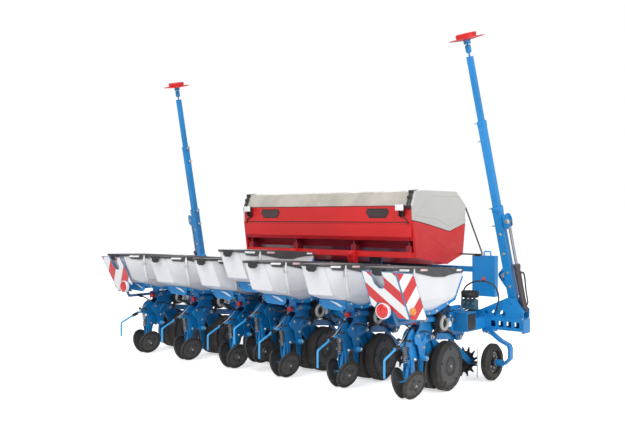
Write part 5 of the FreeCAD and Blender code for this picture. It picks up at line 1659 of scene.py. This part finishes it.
@dataclass
class Marker(Assembly):
    """A marker's clamps, screws and lugs, and its cylinder's fittings and line.

    Attributes:
        tubes: for the two outer tubes of the arm, where each ends from the pivot, and half its width.
        hub_back: how far the disc's bearing starts before the disc.
        lug_at: the foot's lug, from the pivot: along the arm and inwards.
        eye_at: the cylinder's eye, from the pivot: along the arm and outwards.
    """

    tubes: tuple[Pair, ...] = ((0.97, 0.04), (1.825, 0.0325))
    hub_back: float = 0.14
    lug_at: Pair = (0.27, 0.055)
    eye_at: Pair = (0.82, 0.095)

    CHEEK = ((-0.07, -0.05), (0.05, -0.05), (0.075, -0.02), (0.07, 0.012), (0.03, 0.026), (-0.05, 0.022),
             (-0.075, -0.01))
    BEARING = ((0.014, 0.0), (0.024, 0.006), (0.028, 0.014), (0.028, 0.07), (0.022, 0.078))
    LUG = ((0.05, 0.0), (0.054, 0.004), (0.054, 0.056), (0.05, 0.06))
    WEB = ((0.12, -0.036), (0.22, -0.088), (0.29, -0.10), (0.36, -0.038))
    GLAND = ((0.0302, 0.0), (0.036, 0.002), (0.036, 0.036), (0.030, 0.042), (0.0162, 0.0425))
    COLLAR = ((0.0302, 0.0), (0.034, 0.003), (0.034, 0.02), (0.0302, 0.023))
    PORT = ((0.012, 0.0), (0.012, 0.014), (0.009, 0.018))
    LINE = ((0.40, 0.043), (0.395, 0.058), (0.34, 0.062), (0.22, 0.052), (0.13, 0.050), (0.085, 0.048))

    def pole(self, hand: str, side: int, joint: str) -> Pole:
        """The marker's directions, from one of its joints.

        Args:
            hand: its side's name.
            side: its side's sign along X.
            joint: the joint, without its side's name.

        Returns:
            The directions, with the joint as their start.
        """
        along = self.layout.axis(f"{hand}_marker_disc_spin")
        over = Vector((0, along.z, -along.y)).normalized()
        out = over.cross(along).normalized()
        return Pole(self.layout.pivot(f"{hand}_{joint}"), along, out if out.x * side > 0 else -out, over)

    def arm(self, hand: str, side: int) -> None:
        """One arm's clamps and screws, the cylinder's cheeks, the disc's bearing and the foot's lug.

        Args:
            hand: its side's name.
            side: its side's sign along X.
        """
        pole = self.pole(hand, side, "marker_hinge")
        clamps, screws = Fitting(), Fitting()
        for end, half in self.tubes:
            wide = half + 0.0025
            clamps.slab([pole.at(end - 0.05, wide * a, wide * b) for a, b in CORNERS], pole.along * 0.056)
            for shift in (-0.012, -0.19):
                near, far = -(half + 0.006), -(half + 0.036)
                screws.tube([pole.at(end + shift, near), pole.at(end + shift, far)], 0.010)
                screws.tube([pole.at(end + shift, far, turn * 0.024) for turn in SIDES], 0.0055)
                screws.bolt(pole.at(end + shift, near), -pole.out, 0.022)
        for distance in (0.16, 0.30, 0.50, 0.70):
            for turn in SIDES:
                screws.bolt(pole.at(distance, 0.0, turn * 0.040), pole.over * turn, 0.02)
        eye_up, eye_out = self.eye_at
        for turn in SIDES:
            clamps.slab([pole.at(eye_up + a, eye_out + b, turn * 0.0255) for a, b in self.CHEEK],
                        pole.over * (turn * 0.006))
            screws.bolt(pole.at(eye_up, eye_out, turn * 0.0315), pole.over * turn, 0.034)
        hub = self.layout.pivot(f"{hand}_marker_disc_spin")
        clamps.lathe(hub - pole.along * self.hub_back, pole.along, self.BEARING, 20)
        lug_up, lug_in = self.lug_at
        clamps.lathe(pole.at(lug_up, -lug_in, -0.03), pole.over, self.LUG, 24)
        clamps.slab([pole.at(a, b, -0.03) for a, b in self.WEB], pole.over * 0.06)
        for turn in (1, -1):
            screws.bolt(pole.at(lug_up, -lug_in, turn * 0.03), pole.over * turn, 0.034)
        self.add(f"{hand}_marker_clamps", clamps, Paint.BLUE, f"{hand}_marker", edge=0.0015)
        self.add(f"{hand}_marker_screws", screws, Paint.ZINC, f"{hand}_marker")

    def cylinder(self, hand: str, side: int) -> None:
        """One cylinder's gland, collar and ports, and the line between the ports.

        Args:
            hand: its side's name.
            side: its side's sign along X.
        """
        pole = self.pole(hand, side, "cylinder_pivot")
        ends = Fitting().lathe(pole.at(0.446), pole.along, self.GLAND, 24)
        ends.lathe(pole.at(0.032), pole.along, self.COLLAR, 24)
        for distance in (0.075, 0.40):
            ends.lathe(pole.at(distance, 0.028), pole.out, self.PORT, 12)
        line = Fitting().hose([pole.at(a, b) for a, b in self.LINE], 0.0075)
        self.add(f"{hand}_cylinder_fittings", ends, Paint.BARREL, f"{hand}_cylinder")
        self.add(f"{hand}_cylinder_line", line, Paint.HOSE, f"{hand}_cylinder", soft_angle=60.0)

    def side_steps(self) -> Sequence[Callable[[str, int], None]]:
        """What makes one marker's fittings."""
        return self.arm, self.cylinder


@dataclass
class Beam(Assembly):
    """The sliding beams' end plugs, bolts and hydraulic lines, and the right one's valve block.

    Attributes:
        end: inner and outer face of the toolbar's end plug.
        valve_x: the studs of the valve block.
        coil_at: the middle of the coiled hose, as (x, y).
        coils: radius and height of each of its turns.
    """

    end: Pair = (2.086, 2.102)
    valve_x: Point = (1.812, 1.86, 1.908)
    coil_at: Pair = (1.870, 1.205)
    coils: tuple[Pair, ...] = ((0.084, 0.849), (0.080, 0.833), (0.083, 0.883))

    STUD = ((0.019, 0.0), (0.019, 0.012), (0.013, 0.014), (0.013, 0.022))
    PORT = ((0.016, 0.0), (0.016, 0.01), (0.010, 0.012), (0.010, 0.02))
    BEAM_LINE = ((1.86, 1.245, 0.70), (1.80, 1.21, 0.668), (1.66, 1.226, 0.652), (1.45, 1.232, 0.652),
                 (1.26, 1.205, 0.66))
    BAR_LINE = ((0.02, 0.80, 0.742), (0.5, 0.82, 0.742), (0.9, 0.80, 0.742), (1.3, 0.83, 0.742))

    def plug(self, hand: str, side: int) -> None:
        """The toolbar's ribbed end plug.

        Args:
            hand: its side's name.
            side: its side's sign along X.
        """
        plug = Fitting()
        x0, x1 = sorted(side * x for x in self.end)
        plug.block(self.point(x0, 0.731, 0.556), self.point(x1, 0.889, 0.714))
        for offset in (-0.045, 0.0, 0.045):
            plug.block(self.point(x0, 0.735, 0.632 + offset), self.point(x1 + 0.001, 0.885, 0.638 + offset))
        self.add(f"{hand}_bar_plug", plug, Paint.DARK, f"{hand}_wing", edge=0.002)

    def bolts(self, hand: str, side: int) -> None:
        """The bolts of the marker's seat, the ties and the support wheel's plate.

        Args:
            hand: its side's name.
            side: its side's sign along X.
        """
        bolts = Fitting()
        for y in (1.238, 1.362):
            for z in (0.515, 0.635):
                bolts.bolt(self.point(side * 2.430, y, z), sideways(-side), 0.022)
        for x, turn in ((1.33, -1), (1.354, 1), (2.0, -1), (2.024, 1)):
            for z in (0.55, 0.60):
                bolts.bolt(self.point(side * x, 1.0, z), sideways(side * turn), 0.026)
        for x in (2.03, 2.075):
            for y in (1.20, 1.30):
                bolts.bolt(self.point(side * x, y, 0.491), -UP, 0.022)
        self.add(f"{hand}_beam_bolts", bolts, Paint.ZINC, f"{hand}_wing")

    def lines(self, hand: str, side: int) -> None:
        """The pair of lines along the sliding beam and the pair along the toolbar.

        Args:
            hand: its side's name.
            side: its side's sign along X.
        """
        lines = Fitting()
        for lift, start in ((0.0, 0.62), (0.022, 0.66)):
            raised = UP * lift
            lines.hose([point + raised for point in self.points(side, self.BEAM_LINE)], 0.008)
            route = [(start + x, y, z) for x, y, z in self.BAR_LINE]
            lines.hose([point + raised for point in self.points(side, route)], 0.009)
        self.add(f"{hand}_beam_lines", lines, Paint.HOSE, f"{hand}_wing", soft_angle=60.0)

    def valve(self, hand: str, side: int) -> None:
        """The valve block by the marker's foot with the hose coiled over it, on the right only.

        Args:
            hand: its side's name.
            side: its side's sign along X.
        """
        if side < 0:
            return
        block, coil = Fitting(), Fitting()
        block.block(self.point(1.79, 1.19, 0.705), self.point(1.93, 1.258, 0.805))
        for x in self.valve_x:
            block.lathe(self.point(x, 1.19, 0.765), BACK, self.STUD, 16)
            block.lathe(self.point(x, 1.226, 0.805), UP, self.PORT, 16)
        x, y = self.coil_at
        turns = [math.radians(degrees) for degrees in range(0, 361, 12)]
        for radius, z in self.coils:
            coil.tube([self.point(x + radius * math.cos(turn), y + radius * math.sin(turn), z)
                       for turn in turns], 0.0082, 10)
        self.add("valve_block", block, Paint.VALVE, f"{hand}_wing", edge=0.003)
        self.add("valve_coil", coil, Paint.HOSE, f"{hand}_wing", soft_angle=60.0)

    def side_steps(self) -> Sequence[Callable[[str, int], None]]:
        """What makes one wing's fittings."""
        return self.valve, self.plug, self.bolts, self.lines


@dataclass
class WarningBoard(Assembly):
    """The warning boards' striped films, their lamps' lenses and rims.

    Attributes:
        left: inner edge of the board.
        right: its outer edge.
        top: the top edge, as (y, z).
        bottom: the bottom edge.
        thick: the board's own thickness.
        row: the middle of the unit in front of it.
        wing: how the side board runs forward from the corner.
        lamp_at: the middle of the round lamp's face.
        amber_at: the middle of the amber lamp's face, its X from the board's outer edge.
    """

    left: float = 1.705
    right: float = 2.075
    top: Pair = (-0.480, 1.185)
    bottom: Pair = (-0.244, 0.752)
    thick: float = 0.004
    row: float = 1.875
    wing: Point = (0.032, 0.225, -0.022)
    lamp_at: Point = (1.847, -0.340, 0.826)
    amber_at: Point = (0.032, -0.240, 0.830)

    FILM = {"second": (0.80, 0.80, 0.80), "mottle": 0.03}
    RIM = ((0.0705, -0.03), (0.0705, 0.002), (0.069, 0.005), (0.064, 0.006), (0.062, 0.002), (0.062, -0.03))
    LENS = ((0.062, -0.001), (0.062, 0.003), (0.052, 0.009), (0.034, 0.013), (0.012, 0.0145), (0.001, 0.015))
    AMBER = ((0.033, -0.020), (0.033, 0.003), (0.024, 0.010), (0.012, 0.013), (0.001, 0.014))

    def at(self, side: int, x: float, drop: float) -> Vector:
        """A point on the rear board's inner face.

        Args:
            side: -1 on the left, 1 on the right.
            x: its distance from the machine's middle.
            drop: its height below the top edge.

        Returns:
            The point.
        """
        share = drop / (self.top[1] - self.bottom[1])
        y = self.top[0] + (self.bottom[0] - self.top[0]) * share
        return self.point(side * x, y, self.top[1] - drop)

    def films(self, hand: str, side: int) -> None:
        """One board's lower corner and its two striped films.

        Args:
            hand: its side's name.
            side: its side's sign along X.
        """
        body = f"{hand}_wing"
        height = self.top[1] - self.bottom[1]
        x0, x1, row = self.left, self.right, self.row
        rear = ((x0 + 0.027, 0.008), (row - 0.062, 0.008), (row - 0.057, 0.112), (row - 0.022, 0.157),
                (row + 0.022, 0.157), (row + 0.057, 0.112), (row + 0.062, 0.008), (x1 - 0.007, 0.008),
                (x1 - 0.007, height - 0.010), (x0 + 0.262, height - 0.012), (x0 + 0.190, 0.300),
                (x0 + 0.085, 0.285), (x0 + 0.035, 0.335), (x0 + 0.008, 0.318))
        corner = ((x0 + 0.004, 0.235), (x1 - 0.05, height - 0.04), (x1 - 0.007, height - 0.006),
                  (x0 + 0.258, height - 0.006), (x0 + 0.190, 0.304), (x0 + 0.085, 0.289), (x0 + 0.035, 0.340),
                  (x0 + 0.004, 0.322))
        skin = BACK * self.thick
        board = Fitting().slab([self.at(side, x, drop) + skin for x, drop in corner], BACK * -0.003)
        self.add(f"{hand}_board_corner", board, Paint.BLUE, body)
        film = Fitting().slab([self.at(side, x, drop) + skin + BACK * 0.0001 for x, drop in rear],
                              BACK * 0.0008)
        stripes = StripeFinish(f"{hand}_rear_stripes", RED_TONE, 0.3, across=(side * 0.7071, 0.0, 0.7071),
                               pitch=0.190, start=1.890, **self.FILM)
        self.add(f"{hand}_rear_film", film, Paint.WHITE, body, stripes)
        ahead = Vector((side * self.wing[0], self.wing[1], self.wing[2]))
        face = sideways(side * (self.thick + 0.0002))
        outline = [self.at(side, x1 - 0.001, drop) + ahead * share + face for drop, share in
                   ((0.010, 0.03), (height - 0.008, 0.03), (height - 0.008, 0.97), (0.010, 0.97))]
        film = Fitting().slab(outline, sideways(side * 0.0008))
        stripes = StripeFinish(f"{hand}_side_stripes", RED_TONE, 0.3, across=(0.0, -0.8, 0.6), pitch=0.205,
                               start=1.716, **self.FILM)
        self.add(f"{hand}_side_film", film, Paint.WHITE, body, stripes)

    def lamps(self, hand: str, side: int) -> None:
        """One board's round lamp, with its rim, and the amber lamp at its side.

        Args:
            hand: its side's name.
            side: its side's sign along X.
        """
        body = f"{hand}_wing"
        x, y, z = self.lamp_at
        lamp = self.point(side * x, y, z)
        lens = Fitting().lathe(lamp, BACK, self.LENS, 40)
        for radius in (0.016, 0.034):
            lens.lathe(lamp, BACK, [(radius, 0.0125 - radius * 0.09), (radius + 0.003, 0.0165 - radius * 0.1),
                                    (radius + 0.006, 0.0115 - radius * 0.1)], 40)
        x, y, z = self.amber_at
        amber = Fitting().lathe(self.point(side * (self.right + x), y, z), sideways(side), self.AMBER, 32)
        self.add(f"{hand}_lamp_rim", Fitting().lathe(lamp, BACK, self.RIM, 48, True), Paint.WHITE, body)
        self.add(f"{hand}_lamp_lens", lens, Paint.LENS_RED, body)
        self.add(f"{hand}_amber_lens", amber, Paint.LENS_AMBER, body)

    def side_steps(self) -> Sequence[Callable[[str, int], None]]:
        """What makes one board's films and lamps."""
        return self.films, self.lamps


def main() -> None:
    """Build everything, sub-assembly by sub-assembly, and report each."""
    logging.basicConfig(level=logging.INFO, format="%(name)s: %(message)s", stream=sys.stdout)
    layout = Layout.read()
    Studio().build()
    LOG.info("studio ready")
    Solids(layout).build()
    LOG.info("%d solids finished", len(frame["nodes"]))
    for kind in (Unit, SeedHopper, Wheels, Tank, Marker, Beam, WarningBoard):
        pieces = kind(layout).build()
        faces = sum(len(piece.data.polygons) for piece in pieces)
        LOG.info("%s: %d pieces, %d faces", kind.__name__, len(pieces), faces)


if __name__ == "__main__":
    main()
